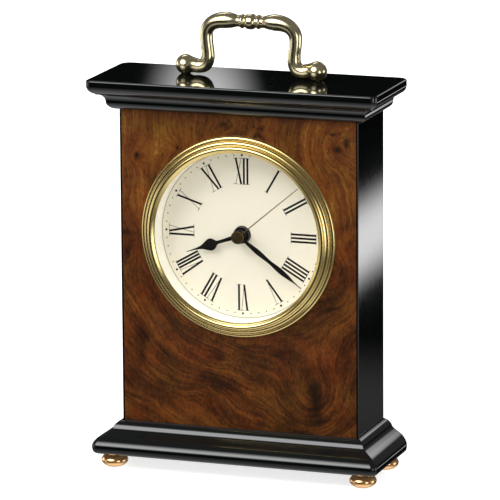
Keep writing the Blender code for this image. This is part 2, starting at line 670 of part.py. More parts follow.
def going_train():
    """Rotor 30 : fifth 6 : seconds 1 : third 2/15 : minute 1/60."""
    leaves = PINION_LEAVES
    up = math.radians(FIFTH_DIRECTION)
    aside = math.radians(THIRD_DIRECTION)
    seconds_layers = [
        (gear_outline(SECONDS_TEETH, SECONDS_MODULE), 3.2, 4.0),
        (gear_outline(leaves, THIRD_MODULE), 0.5, 3.3),
    ]
    gear("seconds_wheel", ARBOR_PLACES["centre"], seconds_layers, "white_plastic",
         (0.5, SECONDS_PLANE - 0.1, ARBOR_BACK))
    third_at = meshing_angle(leaves, 0.0, aside, THIRD_TEETH)
    third_layers = [
        (gear_outline(THIRD_TEETH, THIRD_MODULE, third_at), 0.9, 1.7),
        (gear_outline(leaves, CENTRE_MODULE), -1.7, 1.0),
    ]
    gear("third_wheel", ARBOR_PLACES["third"], third_layers, "white_plastic", (0.4, -4.8, ARBOR_BACK))
    centre_at = meshing_angle(leaves, 0.0, aside + math.pi, CENTRE_TEETH)
    centre_layers = [
        (gear_outline(CENTRE_TEETH, CENTRE_MODULE, centre_at), -1.4, -0.6),
        (gear_outline(MOTION_LEAVES, MINUTE_MODULE), -3.2, -1.3),
    ]
    gear("centre_wheel", ARBOR_PLACES["centre"], centre_layers, "white_plastic",
         (1.5, MINUTE_PLANE - 0.3, -0.5), 0.5 + PLAY)
    fifth_pinion_at = meshing_angle(SECONDS_TEETH, 0.0, up, leaves)
    fifth_layers = [
        (gear_outline(FIFTH_TEETH, ROTOR_MODULE), 5.1, 5.9),
        (gear_outline(leaves, SECONDS_MODULE, fifth_pinion_at), 3.0, 5.2),
    ]
    gear("fifth_wheel", ARBOR_PLACES["fifth"], fifth_layers, "white_plastic", (0.4, 2.2, ARBOR_BACK))
    rotor_at = meshing_angle(FIFTH_TEETH, 0.0, up, leaves)
    rotor_layers = [
        (circle(3.0, steps=20), 2.8, 4.6),
        (gear_outline(leaves, ROTOR_MODULE, rotor_at), 4.5, 6.2),
    ]
    gear("rotor", ARBOR_PLACES["rotor"], rotor_layers, "dark_magnet", (0.4, 1.4, ARBOR_BACK))


def motion_work():
    """Minute 1 : setting -1/3 : hour 1/12, with the setting knob on the middle arbor."""
    aside = math.radians(SETTING_DIRECTION)
    minute_at = meshing_angle(MOTION_LEAVES, 0.0, aside, MINUTE_TEETH)
    layers = [
        (gear_outline(MINUTE_TEETH, MINUTE_MODULE, minute_at), -2.9, -1.9),
        (gear_outline(MOTION_LEAVES, HOUR_MODULE), -4.7, -2.8),
    ]
    place = ARBOR_PLACES["setting"]
    gear("minute_wheel", place, layers, "white_plastic", (0.8, -4.9, 11.4))
    hour_at = meshing_angle(MOTION_LEAVES, 0.0, aside + math.pi, HOUR_TEETH)
    gear("hour_wheel", ARBOR_PLACES["centre"], [(gear_outline(HOUR_TEETH, HOUR_MODULE, hour_at), -4.6, -3.6)],
         "white_plastic", (2.5, HOUR_PLANE - 0.3, -3.5), 1.5 + PLAY)
    grip = circle(5.4, steps=24)
    knob = plate("setting_knob", [grip], 10.0, 12.6, "black_plastic", place[0], DIAL_Z + place[1])
    cut(knob, post("cut_setting_knob", 0.8 + GAP, -0.4, 2.3, "steel",
                   (place[0], 11.3, DIAL_Z + place[1]), FACING_FRONT, 8))


def middle_plate():
    """Carries the front pivots of the rotor and the fifth wheel."""
    names = {"centre": 2.0, "setting": 1.2, "third": 0.8, "fifth": 0.6, "rotor": 0.6}
    holes = [circle(radius, *ARBOR_PLACES[name], 8) for name, radius in names.items()]
    plate("middle_plate", [rectangle(-26.2, -9.4, 26.2, 17.6)] + holes, 2.1, 2.6, "black_plastic")


def motor():
    """Stator with the rotor's hole, and the coil on its upper bar."""
    rotor_z = ARBOR_PLACES["rotor"][1]
    coil_z = 22.0
    stator = [
        rectangle(-13.0, rotor_z - 4.3, 13.0, coil_z + 1.0),
        rectangle(-10.4, rotor_z + 4.5, 10.4, coil_z - 1.0),
        circle(3.4, 0.0, rotor_z, 20),
    ]
    plate("stator", stator, 3.3, 4.1, "steel")
    middle = 3.7
    at = (0, middle, DIAL_Z + coil_z)
    core_half = (0.4 + GAP, 1.0 + GAP)
    bobbin = [(2.9, 9.9), (2.9, 9.1), (1.8, 9.1), (1.8, -9.1), (2.9, -9.1), (2.9, -9.9), (0.0, -9.9)]
    spool = turned("coil_bobbin", [(0.0, 9.9)] + bobbin, "white_plastic", at, FACING_RIGHT, 16)
    slot = box("cut_bobbin", (-12, middle - core_half[0], DIAL_Z + coil_z - core_half[1]),
               (12, middle + core_half[0], DIAL_Z + coil_z + core_half[1]), "steel")
    cut(spool, slot)
    tube("coil_winding", 2.8, 2.0, -8.8, 8.8, "copper_wire", at, FACING_RIGHT, 16)


def electrics():
    board = [rectangle(15.0, -8.0, 26.0, 24.0)]
    plate("circuit_board", board, 5.4, 6.4, "green_board")
    chip_z = DIAL_Z + 6.0
    box("timing_chip", (17.5, 4.3, chip_z - 3), (23.5, 5.4 - GAP, chip_z + 3), "black_plastic")
    crystal_at = (20.5, 4.0, DIAL_Z + 13.0)
    post("quartz_crystal", 1.0, 0.0, 6.0, "steel", crystal_at, UPRIGHT, 12)
    can = [(0.0, 50.4), (2.7, 50.4), (2.7, 49.4), (6.9, 49.4), (BATTERY_RADIUS, 49.0),
           (BATTERY_RADIUS, 0.4), (6.9, 0.0), (0.0, 0.0)]
    at = (-BATTERY_HALF_LENGTH, BATTERY_Y, BATTERY_Z)
    turned("battery", can, "battery_label", at, FACING_RIGHT, 24)
    for word, side in (("negative", -1), ("positive", 1)):
        inner = BATTERY_HALF_LENGTH + GAP
        ends = sorted((side * inner, side * (inner + 0.5)))
        box(f"battery_contact_{word}", (ends[0], BATTERY_Y - 4, BATTERY_Z - 4),
            (ends[1], BATTERY_Y + 4, BATTERY_Z + 4), "steel")


def build_clock():
    top_board()
    plinth_base()
    side_panel("left", -1)
    side_panel("right", 1)
    front_pieces()
    feet()
    handle()
    back_door()
    bezel()
    dial_pieces()
    hands()
    front_plate()
    back_case()
    going_train()
    motion_work()
    middle_plate()
    motor()
    electrics()


clear_scene()
PARTS = new_collection("carriage_clock")
CUTTERS = new_collection("cutters")
build_clock()
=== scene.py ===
"""The looks of a quartz carriage clock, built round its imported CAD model.

Lengths are in millimetres in the frame's own axes and are turned into metres as a piece
is built. +Z is up, the dial looks along -Y, and +X is on the right of someone facing it.
"""

import math

import bmesh
import bpy
from mathutils import Matrix, Vector

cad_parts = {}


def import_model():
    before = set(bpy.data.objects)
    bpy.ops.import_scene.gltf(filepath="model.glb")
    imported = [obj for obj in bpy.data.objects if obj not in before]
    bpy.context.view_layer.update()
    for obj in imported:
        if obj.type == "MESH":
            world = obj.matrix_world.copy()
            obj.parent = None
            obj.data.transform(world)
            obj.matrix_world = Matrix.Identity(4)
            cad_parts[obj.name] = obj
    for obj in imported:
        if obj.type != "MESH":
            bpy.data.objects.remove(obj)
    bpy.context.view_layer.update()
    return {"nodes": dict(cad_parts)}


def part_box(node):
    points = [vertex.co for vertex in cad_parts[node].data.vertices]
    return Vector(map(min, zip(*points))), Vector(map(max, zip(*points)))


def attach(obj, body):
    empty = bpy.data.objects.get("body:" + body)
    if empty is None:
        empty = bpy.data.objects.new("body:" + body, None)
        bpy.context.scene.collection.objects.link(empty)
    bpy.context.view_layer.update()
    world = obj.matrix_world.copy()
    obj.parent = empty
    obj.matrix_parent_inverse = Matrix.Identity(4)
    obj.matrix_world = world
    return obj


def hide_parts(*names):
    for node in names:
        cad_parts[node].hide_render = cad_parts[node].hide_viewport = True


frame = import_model()

MM = 0.001
NODES = frame["nodes"]

FACING_FRONT = (math.pi / 2, 0.0, 0.0)  # local +Z looks out of the dial
FACING_BACK = (-math.pi / 2, 0.0, 0.0)
UPRIGHT = (0.0, 0.0, 0.0)


def extent(node):
    """Lowest and highest corner of a CAD node, in millimetres."""
    low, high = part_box(node)
    return low / MM, high / MM


def middle_of(node):
    low, high = extent(node)
    return (low + high) / 2


# Places read from the frame
SIDE_LOW, SIDE_HIGH = extent("right_side_panel")
TOP_LOW, TOP_HIGH = extent("top_board")
BASE_LOW, BASE_HIGH = extent("plinth_base")
VENEER_LOW, VENEER_HIGH = extent("burl_veneer_panel")
DIAL_LOW, DIAL_HIGH = extent("dial")
BODY_HALF_WIDTH = SIDE_HIGH.x
BODY_FRONT, BODY_BACK = SIDE_LOW.y, SIDE_HIGH.y
MIDDLE_Y = (BODY_FRONT + BODY_BACK) / 2
DIAL_Z = middle_of("dial").z
DIAL_RADIUS = (DIAL_HIGH.x - DIAL_LOW.x) / 2
DIAL_FACE = DIAL_LOW.y


# Outlines and meshes


def arc(x, y, rx, ry, start, end, steps):
    """Points on an ellipse's arc, from one angle in degrees to another."""
    angles = [math.radians(start + (end - start) * k / steps) for k in range(steps + 1)]
    return [(x + rx * math.cos(a), y + ry * math.sin(a)) for a in angles]


def circle(radius, x=0.0, y=0.0, steps=64):
    return arc(x, y, radius, radius, 0, 360, steps)[:-1]


def smooth(points, per_span):
    """A Catmull-Rom curve through points of any number of coordinates."""
    points = [Vector(p) for p in points]
    ends = [2 * points[0] - points[1]] + points + [2 * points[-1] - points[-2]]
    found = []
    for before, start, end, after in zip(ends, ends[1:], ends[2:], ends[3:]):
        for k in range(per_span):
            t = k / per_span
            found.append(
                0.5 * (2 * start + (end - before) * t
                       + (2 * before - 5 * start + 4 * end - after) * t**2
                       + (3 * start - before - 3 * end + after) * t**3)
            )
    return [tuple(p) for p in found] + [tuple(points[-1])]


def piece(name, bm, material, body, at=(0, 0, 0), turn=UPRIGHT, sharp=35):
    """Finishes a mesh given in millimetres, puts it in place and lets it ride on a CAD body."""
    mesh = bpy.data.meshes.new(name)
    bmesh.ops.recalc_face_normals(bm, faces=bm.faces)
    bm.to_mesh(mesh)
    bm.free()
    mesh.transform(Matrix.Scale(MM, 4))
    mesh.shade_smooth()
    mesh.set_sharp_from_angle(angle=math.radians(sharp))
    mesh.materials.append(material)
    obj = bpy.data.objects.new(name, mesh)
    bpy.context.scene.collection.objects.link(obj)
    obj.rotation_euler = turn
    obj.location = Vector(at) * MM
    bpy.context.view_layer.update()
    mesh.transform(obj.matrix_world)
    obj.matrix_world = Matrix.Identity(4)
    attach(obj, body)
    return obj


def keep_flats_flat(obj):
    """Gives the wide flat faces their own normals, so that only the narrow edges shade round."""
    modifier = obj.modifiers.new("flat_faces", "WEIGHTED_NORMAL")
    modifier.keep_sharp = True
    modifier.weight = 50
    return obj


def stand_for(obj, node):
    """obj is the finer shape of this CAD node."""
    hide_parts(node)
    return obj


def loft(rings, closed=False):
    """Quads between rings of points. A ring of one point is a tip, and other ends are filled."""
    bm = bmesh.new()
    loops = [[bm.verts.new(p) for p in ring] for ring in rings]
    pairs = list(zip(loops, loops[1:]))
    if closed:
        pairs.append((loops[-1], loops[0]))
    for lower, upper in pairs:
        count = max(len(lower), len(upper))
        for k in range(count):
            after = (k + 1) % count
            if len(lower) == 1:
                bm.faces.new((lower[0], upper[after], upper[k]))
            elif len(upper) == 1:
                bm.faces.new((lower[k], lower[after], upper[0]))
            else:
                bm.faces.new((lower[k], lower[after], upper[after], upper[k]))
    if not closed:
        for loop in (loops[0], loops[-1]):
            if len(loop) > 2:
                bm.faces.new(loop)
    return bm


def turned(profile, steps=96):
    """A lathe form. A profile that starts and ends on the axis is solid, and another is a ring."""
    rings = []
    for radius, height in profile:
        if radius == 0.0:
            rings.append([(0.0, 0.0, height)])
        else:
            rings.append([(x, y, height) for x, y in circle(radius, steps=steps)])
    solid = profile[0][0] == 0.0 and profile[-1][0] == 0.0
    return loft(rings, closed=not solid)


def flat(outlines, thickness, round_edge=0.0):
    """A sheet through local Z = 0, with its later outlines as holes, and rounded edges."""
    curve = bpy.data.curves.new("outline", "CURVE")
    curve.dimensions = "2D"
    curve.fill_mode = "BOTH"
    curve.extrude = thickness / 2 - round_edge
    curve.bevel_depth = round_edge
    curve.bevel_resolution = 3
    curve.offset = -round_edge
    for outline in outlines:
        spline = curve.splines.new("POLY")
        spline.points.add(len(outline) - 1)
        for point, (x, y) in zip(spline.points, outline):
            point.co = (x, y, 0.0, 1.0)
        spline.use_cyclic_u = True
    helper = bpy.data.objects.new("outline", curve)
    bpy.context.scene.collection.objects.link(helper)
    evaluated = helper.evaluated_get(bpy.context.evaluated_depsgraph_get())
    bm = bmesh.new()
    bm.from_mesh(evaluated.to_mesh())
    bmesh.ops.remove_doubles(bm, verts=bm.verts, dist=0.0005)
    bpy.data.objects.remove(helper)
    return bm


# Materials


class Finish:
    """A Principled material, with short ways to add the nodes that vary it."""

    def __init__(self, name, colour, roughness, metallic=0.0, **sockets):
        self.material = bpy.data.materials.new(name)
        self.material.use_nodes = True
        self.tree = self.material.node_tree
        self.shader = self.tree.nodes["Principled BSDF"]
        self.shader.inputs["Base Color"].default_value = (*colour, 1.0)
        self.shader.inputs["Roughness"].default_value = roughness
        self.shader.inputs["Metallic"].default_value = metallic
        for socket, value in sockets.items():
            self.shader.inputs[socket.replace("_", " ")].default_value = value
        place = self.tree.nodes.new("ShaderNodeTexCoord")
        self.place = self.vector("SCALE", place.outputs["Object"], Scale=1 / MM)

    def node(self, kind, settings=None, **inputs):
        made = self.tree.nodes.new(f"ShaderNode{kind}")
        for key, value in (settings or {}).items():
            setattr(made, key, value)
        for key, value in inputs.items():
            self.feed(made.inputs[key.replace("_", " ")], value)
        return made

    def feed(self, socket, value):
        if isinstance(value, bpy.types.NodeSocket):
            self.tree.links.new(value, socket)
        else:
            socket.default_value = value

    def math(self, operation, *values):
        made = self.tree.nodes.new("ShaderNodeMath")
        made.operation = operation
        for socket, value in zip(made.inputs, values):
            self.feed(socket, value)
        return made.outputs[0]

    def vector(self, operation, *values, **inputs):
        made = self.tree.nodes.new("ShaderNodeVectorMath")
        made.operation = operation
        for socket, value in zip(made.inputs, values):
            self.feed(socket, value)
        for key, value in inputs.items():
            self.feed(made.inputs[key], value)
        return made.outputs[0]

    def noise(self, place, scale, detail=3.0, roughness=0.5, warp=0.0):
        """Noise from 0 to 1, with scale in cycles per millimetre."""
        made = self.node("TexNoise", Vector=place, Scale=scale, Detail=detail,
                         Roughness=roughness, Distortion=warp)
        return made.outputs["Fac"]

    def span(self, value, low, high, out_low=0.0, out_high=1.0, curve="LINEAR"):
        made = self.node("MapRange", {"interpolation_type": curve}, Value=value)
        for name, number in (("From Min", low), ("From Max", high), ("To Min", out_low),
                             ("To Max", out_high)):
            self.feed(made.inputs[name], number)
        return made.outputs[0]

    def ramp(self, value, stops):
        """Colours at places from 0 to 1."""
        made = self.node("ValToRGB", Fac=value)
        elements = made.color_ramp.elements
        while len(elements) < len(stops):
            elements.new(0.5)
        for element, (at, colour) in zip(elements, stops):
            element.position = at
            element.color = (*colour, 1.0)
        return made.outputs["Color"]

    def mix(self, share, first, second, blend="MIX"):
        made = self.node("Mix", {"data_type": "RGBA", "blend_type": blend})
        self.feed(made.inputs["Factor"], share)
        for socket, value in ((made.inputs["A"], first), (made.inputs["B"], second)):
            colour = (*value, 1.0) if isinstance(value, tuple) else value
            for candidate in made.inputs:
                if candidate.type == "RGBA" and candidate.name == socket.name:
                    self.feed(candidate, colour)
        return [out for out in made.outputs if out.type == "RGBA"][0]

    def stretched(self, x, y, z):
        """Place, with each axis scaled."""
        return self.vector("MULTIPLY", self.place, (x, y, z))

    def use(self, socket, value):
        self.feed(self.shader.inputs[socket], value)

    def bump(self, height, depth, strength):
        """Bump with its depth in millimetres."""
        made = self.node("Bump", Height=height, Strength=strength, Distance=depth * MM)
        self.feed(self.shader.inputs["Normal"], made.outputs[0])


def lacquer():
    """Deep gloss black, with the slight waviness of sprayed and polished lacquer."""
    made = Finish("black_lacquer", (0.0028, 0.0040, 0.0036), 0.05, IOR=1.62)
    cloud = made.noise(made.place, 0.03, 2.0)
    made.use("Base Color", made.mix(cloud, (0.0018, 0.0028, 0.0025), (0.0040, 0.0054, 0.0050)))
    made.use("Roughness", made.span(made.noise(made.place, 0.4, 4.0), 0.3, 0.7, 0.035, 0.06))
    made.bump(made.noise(made.place, 0.08, 1.0), 0.004, 0.3)
    return made.material


# Dark eyes of the burl: x, z, half width, half height in millimetres, and darkness
EYES = (
    (34.0, 33.0, 2.4, 6.5, 0.75), (43.5, 142.0, 2.6, 1.6, 0.95), (47.5, 145.0, 1.3, 2.0, 0.9),
    (41.5, 148.5, 1.8, 0.9, 0.85), (-45.0, 134.5, 1.4, 1.8, 0.95), (-26.8, 139.0, 1.0, 1.0, 0.95),
    (-50.0, 101.5, 2.4, 1.3, 0.85), (-49.5, 93.0, 1.2, 2.4, 0.85), (10.0, 149.0, 1.3, 1.0, 0.85),
    (-6.0, 150.0, 1.4, 0.9, 0.8), (28.0, 20.5, 4.0, 1.3, 0.7), (49.0, 103.0, 1.0, 1.4, 0.7),
)
# Lighter and darker places in the figure: x, z, half width, half height, and the change of tone
SHADES = (
    (38.0, 121.0, 14.0, 7.0, 0.08), (44.0, 146.0, 9.0, 5.0, 0.05), (-43.0, 54.0, 3.5, 11.0, -0.12),
    (-15.0, 40.0, 15.0, 4.0, -0.09), (34.0, 33.0, 4.0, 8.0, -0.15), (28.0, 20.0, 7.0, 3.0, -0.10),
    (49.0, 95.0, 4.0, 10.0, -0.08), (-50.0, 97.0, 4.0, 9.0, -0.10), (-20.0, 28.0, 14.0, 4.0, 0.05),
    (46.0, 60.0, 8.0, 6.0, -0.06), (47.0, 110.0, 6.0, 2.5, -0.09), (2.0, 148.0, 12.0, 4.0, -0.05),
)
# Patches full of small dark flecks: x, z, half width, half height
FLECKED = (
    (43.0, 144.0, 9.0, 6.0), (-50.0, 97.0, 4.0, 9.0), (4.0, 150.0, 11.0, 3.0), (37.0, 33.0, 8.0, 10.0),
    (-45.0, 134.0, 3.0, 4.0),
)


def burl():
    """Veneer: grain that runs down the sides, bends under the dial and swirls round the eyes."""
    made = Finish("burl_veneer", (0.15, 0.044, 0.008), 0.45, Specular_IOR_Level=0.1, Coat_Weight=0.5,
                  Coat_Roughness=0.04)
    split = made.node("SeparateXYZ", Vector=made.place)
    x, z = split.outputs["X"], split.outputs["Z"]

    def wander(scale, reach, shift):
        moved = made.vector("ADD", made.place, (shift, 0.0, shift))
        return made.math("MULTIPLY_ADD", made.noise(moved, scale, 3.0, 0.55), 2 * reach, -reach)

    x = made.math("ADD", x, wander(0.15, 0.8, 40.0))
    z = made.math("ADD", z, wander(0.15, 0.8, 310.0))
    bent_x = made.math("ADD", x, wander(0.028, 6.5, 0.0))
    bent_z = made.math("ADD", z, wander(0.028, 6.5, 170.0))

    # Growth rings: straight above the dial's middle, round below it
    below = made.math("MINIMUM", made.math("SUBTRACT", bent_z, 100.0), 0.0)
    across = made.math("SUBTRACT", bent_x, 8.0)
    rings = made.math("SQRT", made.math("ADD", made.math("MULTIPLY", across, across),
                                        made.math("MULTIPLY", below, below)))

    def hill(at_x, at_z, wide, high):
        u = made.math("DIVIDE", made.math("SUBTRACT", x, at_x), wide)
        v = made.math("DIVIDE", made.math("SUBTRACT", z, at_z), high)
        square = made.math("ADD", made.math("MULTIPLY", u, u), made.math("MULTIPLY", v, v))
        return made.math("EXPONENT", made.math("MULTIPLY", square, -1.0))

    height = rings
    for at_x, at_z, wide, high, lift in (
        (34.0, 33.0, 15.0, 17.0, -24.0), (43.0, 143.0, 13.0, 10.0, 16.0), (-45.0, 134.0, 5.0, 6.0, -6.0),
        (-50.0, 98.0, 7.0, 9.0, 7.0), (4.0, 150.0, 12.0, 7.0, 8.0), (-27.0, 139.0, 4.0, 5.0, 4.0),
        (46.0, 85.0, 9.0, 14.0, -9.0), (-16.0, 34.0, 16.0, 9.0, 8.0),
    ):
        height = made.math("MULTIPLY_ADD", hill(at_x, at_z, wide, high), lift, height)

    def lines(frequency, along, detail, seed):
        """Noise that is fine across the grain and slow along it."""
        place = made.node("CombineXYZ")
        made.feed(place.inputs["X"], made.math("MULTIPLY", height, frequency))
        made.feed(place.inputs["Y"], made.math("MULTIPLY_ADD", x, along, seed))
        made.feed(place.inputs["Z"], made.math("MULTIPLY", z, along))
        return made.noise(place.outputs[0], 1.0, detail, 0.6)

    broad = lines(0.14, 0.03, 2.0, 0.0)
    grain = lines(0.85, 0.04, 4.0, 20.0)
    fine = lines(1.9, 0.14, 3.0, 50.0)
    speck = made.noise(made.stretched(1.0, 1.0, 0.6), 0.9, 4.0, 0.65)
    hue = made.noise(made.vector("ADD", made.place, (31.0, 0.0, 11.0)), 0.055, 4.0, 0.6, 0.5)
    mottle = made.noise(made.vector("ADD", made.place, (7.0, 0.0, 3.0)), 0.09, 5.0, 0.65, 0.4)
    away = made.math("ABSOLUTE", made.math("SUBTRACT", lines(0.26, 0.02, 2.0, 80.0), 0.5))
    veins = made.span(away, 0.0, 0.035, 1.0, 0.0)
    veins = made.math("MULTIPLY", veins, made.span(mottle, 0.35, 0.6, 0.35, 0.05))

    tone = made.math("MULTIPLY_ADD", grain, 0.44, made.math("MULTIPLY", broad, 0.56))
    tone = made.math("ADD", tone, made.math("MULTIPLY_ADD", mottle, 0.40, -0.20))
    tone = made.math("ADD", tone, made.math("MULTIPLY_ADD", fine, 0.32, -0.16))
    tone = made.math("ADD", tone, made.math("MULTIPLY_ADD", speck, 0.36, -0.18))
    upper = made.span(split.outputs["Z"], 45.0, 125.0, -0.10, 0.035, "SMOOTHSTEP")
    tone = made.math("ADD", tone, upper)
    for at_x, at_z, wide, high, lift in SHADES:
        tone = made.math("MULTIPLY_ADD", hill(at_x, at_z, wide, high), lift, tone)
    colour = made.ramp(made.span(tone, 0.22, 0.78), [
        (0.0, (0.024, 0.009, 0.003)), (0.25, (0.070, 0.022, 0.005)), (0.50, (0.150, 0.044, 0.008)),
        (0.75, (0.225, 0.078, 0.012)), (1.0, (0.370, 0.165, 0.034)),
    ])
    colour = made.mix(made.span(hue, 0.48, 0.64, 0.0, 0.9), colour, (1.0, 0.74, 0.72), "MULTIPLY")
    colour = made.mix(made.span(hue, 0.34, 0.48, 0.8, 0.0), colour, (0.95, 1.16, 0.95), "MULTIPLY")
    colour = made.mix(veins, colour, (0.030, 0.011, 0.004))
    dark = None
    for at_x, at_z, wide, high, depth in EYES:
        spot = made.math("MULTIPLY", hill(at_x, at_z, wide, high), depth)
        dark = spot if dark is None else made.math("MAXIMUM", dark, spot)
    dark = made.math("MULTIPLY", dark, made.span(fine, 0.25, 0.6, 0.6, 1.15))
    colour = made.mix(dark, colour, (0.012, 0.006, 0.003))
    flecked = None
    for at_x, at_z, wide, high in FLECKED:
        patch = hill(at_x, at_z, wide, high)
        flecked = patch if flecked is None else made.math("MAXIMUM", flecked, patch)
    flecks = made.span(made.noise(made.place, 0.55, 2.0, 0.5, 1.5), 0.58, 0.68, 0.0, 0.85)
    colour = made.mix(made.math("MULTIPLY", flecks, flecked), colour, (0.016, 0.007, 0.003))
    pores = made.span(made.noise(made.stretched(1.0, 1.0, 0.35), 2.2, 2.0), 0.66, 0.74, 0.0, 0.55)
    colour = made.mix(pores, colour, (0.022, 0.009, 0.004))
    made.use("Base Color", colour)
    made.use("Roughness", made.span(grain, 0.3, 0.7, 0.5, 0.38))
    made.bump(made.math("ADD", fine, grain), 0.01, 0.3)
    return made.material


def brass(name, light, dark, roughness, scratch, **sockets):
    """Polished metal, a little uneven in colour and finely scratched."""
    made = Finish(name, light, roughness, 1.0, **sockets)
    cloud = made.noise(made.place, 0.08, 3.0)
    made.use("Base Color", made.mix(made.span(cloud, 0.3, 0.7), dark, light))
    fine = made.noise(made.stretched(1.0, 1.0, 6.0), 1.2, 4.0)
    made.use("Roughness", made.span(fine, 0.3, 0.7, roughness * 0.7, roughness * 1.4))
    made.bump(fine, 0.003, scratch)
    return made.material


def spun_brass():
    """The bezel's metal, turned on a lathe, so its fine marks run round the dial."""
    made = Finish("spun_brass", (0.90, 0.66, 0.27), 0.2, 1.0)
    split = made.node("SeparateXYZ", Vector=made.place)
    rise = made.math("SUBTRACT", split.outputs["Z"], DIAL_Z)
    x = split.outputs["X"]
    square = made.math("ADD", made.math("MULTIPLY", x, x), made.math("MULTIPLY", rise, rise))
    radius = made.math("SQRT", square)
    place = made.node("CombineXYZ")
    made.feed(place.inputs["X"], radius)
    made.feed(place.inputs["Y"], split.outputs["Y"])
    marks = made.noise(place.outputs[0], 9.0, 2.0)
    cloud = made.noise(made.place, 0.06, 3.0)
    made.use("Base Color", made.mix(cloud, (0.85, 0.64, 0.24), (0.94, 0.76, 0.33)))
    made.use("Roughness", made.span(marks, 0.3, 0.7, 0.14, 0.26))
    made.bump(marks, 0.002, 0.35)
    return made.material


def paint(name, light, dark, roughness, grain=1.5, depth=0.004, metallic=0.0, **sockets):
    """A plain finish whose colour, gloss and surface vary a little, as paint, card or plastic does."""
    made = Finish(name, light, roughness, metallic, **sockets)
    cloud = made.noise(made.place, 0.15, 4.0)
    speck = made.noise(made.place, grain, 3.0)
    made.use("Base Color", made.mix(made.span(cloud, 0.3, 0.7), dark, light))
    made.use("Roughness", made.span(speck, 0.3, 0.7, roughness * 0.85, min(1.0, roughness * 1.15)))
    made.bump(speck, depth, 0.5)
    return made.material


def watch_glass():
    """Clear flat glass, with a breath of polish haze."""
    made = Finish("glass", (0.985, 0.99, 0.985), 0.0, Transmission_Weight=1.0, IOR=1.46)
    made.use("Roughness", made.span(made.noise(made.place, 0.05, 2.0), 0.3, 0.7, 0.0, 0.012))
    return made.material


def board():
    """The bare wooden board behind the veneer."""
    made = Finish("bare_board", (0.40, 0.28, 0.17), 0.8)
    fibres = made.noise(made.stretched(0.12, 1.0, 1.6), 0.8, 5.0, 0.6)
    made.use("Base Color", made.ramp(fibres, [(0.3, (0.28, 0.18, 0.10)), (0.7, (0.47, 0.34, 0.21))]))
    made.bump(fibres, 0.05, 0.6)
    return made.material


def wound_wire():
    """Enamelled copper wire in close turns along X."""
    made = Finish("copper_wire", (0.62, 0.24, 0.09), 0.3, 1.0)
    turns = made.node("TexWave", {"bands_direction": "X"}, Vector=made.place, Scale=1.2, Distortion=0.4)
    made.use("Base Color", made.mix(turns.outputs["Fac"], (0.35, 0.11, 0.04), (0.72, 0.32, 0.13)))
    made.bump(turns.outputs["Fac"], 0.08, 0.8)
    return made.material


def cell_label():
    """The battery's sleeve: a plain two-colour wrap with a thin silver line between."""
    made = Finish("battery_label", (0.06, 0.08, 0.14), 0.28)
    along = made.node("SeparateXYZ", Vector=made.place).outputs["X"]
    low, high = extent("battery")
    share = made.span(along, low.x, high.x)
    dark, silver, amber = (0.03, 0.04, 0.07), (0.55, 0.55, 0.56), (0.60, 0.30, 0.08)
    made.use("Base Color", made.ramp(share, [
        (0.00, silver), (0.02, dark), (0.66, dark), (0.67, silver), (0.69, amber),
        (0.97, amber), (0.98, silver),
    ]))
    made.bump(made.noise(made.place, 0.8, 3.0), 0.01, 0.4)
    return made.material


LACQUER = lacquer()
BURL = burl()
BRASS = brass("polished_brass", (0.95, 0.85, 0.54), (0.90, 0.77, 0.45), 0.17, 0.15)
HINGE_BRASS = brass("hinge_brass", (0.80, 0.63, 0.31), (0.66, 0.48, 0.21), 0.22, 0.5)
# The feet glow faintly (emission 0.06): painted light that makes them brighter, though they are no lamp
COPPER_BRASS = brass("copper_brass", (0.98, 0.62, 0.30), (0.92, 0.51, 0.21), 0.15, 0.2,
                     Emission_Color=(1.0, 0.55, 0.22, 1.0), Emission_Strength=0.06)
GILT = brass("gilt_hand", (0.40, 0.27, 0.05), (0.33, 0.21, 0.04), 0.3, 0.2)
BRONZE = paint("bronze_cap", (0.21, 0.15, 0.07), (0.15, 0.10, 0.045), 0.32, 0.8, 0.001, 1.0)
STEEL = brass("screw_steel", (0.62, 0.62, 0.64), (0.50, 0.50, 0.52), 0.28, 0.5)
SPUN_BRASS = spun_brass()
GLASS = watch_glass()
# The rehaut ring's card glows faintly (emission 0.14): painted light that makes it brighter, though it is no
# lamp
CARD = paint("white_card", (0.94, 0.91, 0.80), (0.91, 0.88, 0.77), 0.5, Emission_Color=(1.0, 0.95, 0.8, 1.0),
             Emission_Strength=0.14)
# The dial glows faintly (emission 0.19): painted light that makes it brighter, though it is no lamp
IVORY = paint("ivory_dial", (0.83, 0.77, 0.63), (0.815, 0.755, 0.615), 0.42, 2.5, 0.002,
              Emission_Color=(0.95, 0.89, 0.72, 1.0), Emission_Strength=0.19)
INK = paint("dial_ink", (0.010, 0.010, 0.009), (0.016, 0.015, 0.014), 0.6, Specular_IOR_Level=0.08)
# Grey for a thin ring of painted shadow on the dial, where the rehaut ring meets it
SEAM_SHADOW = paint("dial_seam_shadow", (0.42, 0.40, 0.35), (0.36, 0.34, 0.30), 0.6)
HAND_BLACK = paint("black_hand", (0.005, 0.005, 0.005), (0.010, 0.009, 0.008), 0.35, Specular_IOR_Level=0.12)
BLACK_PLASTIC = paint("black_plastic", (0.030, 0.030, 0.032), (0.020, 0.020, 0.022), 0.5, 3.0, 0.01)
WHITE_PLASTIC = paint("white_plastic", (0.82, 0.82, 0.79), (0.74, 0.74, 0.70), 0.4)
GREEN_BOARD = paint("green_board", (0.03, 0.20, 0.09), (0.02, 0.14, 0.06), 0.4, 2.0)
MOTOR_STEEL = paint("motor_steel", (0.46, 0.47, 0.49), (0.36, 0.37, 0.39), 0.38, 4.0, 0.004, 1.0)
CONTACT = paint("contact_metal", (0.74, 0.74, 0.72), (0.62, 0.62, 0.60), 0.25, 2.0, 0.003, 1.0)
MAGNET = paint("dark_magnet", (0.09, 0.09, 0.10), (0.06, 0.06, 0.07), 0.5, 2.0, 0.02)
BOARD = board()
WIRE = wound_wire()
LABEL = cell_label()

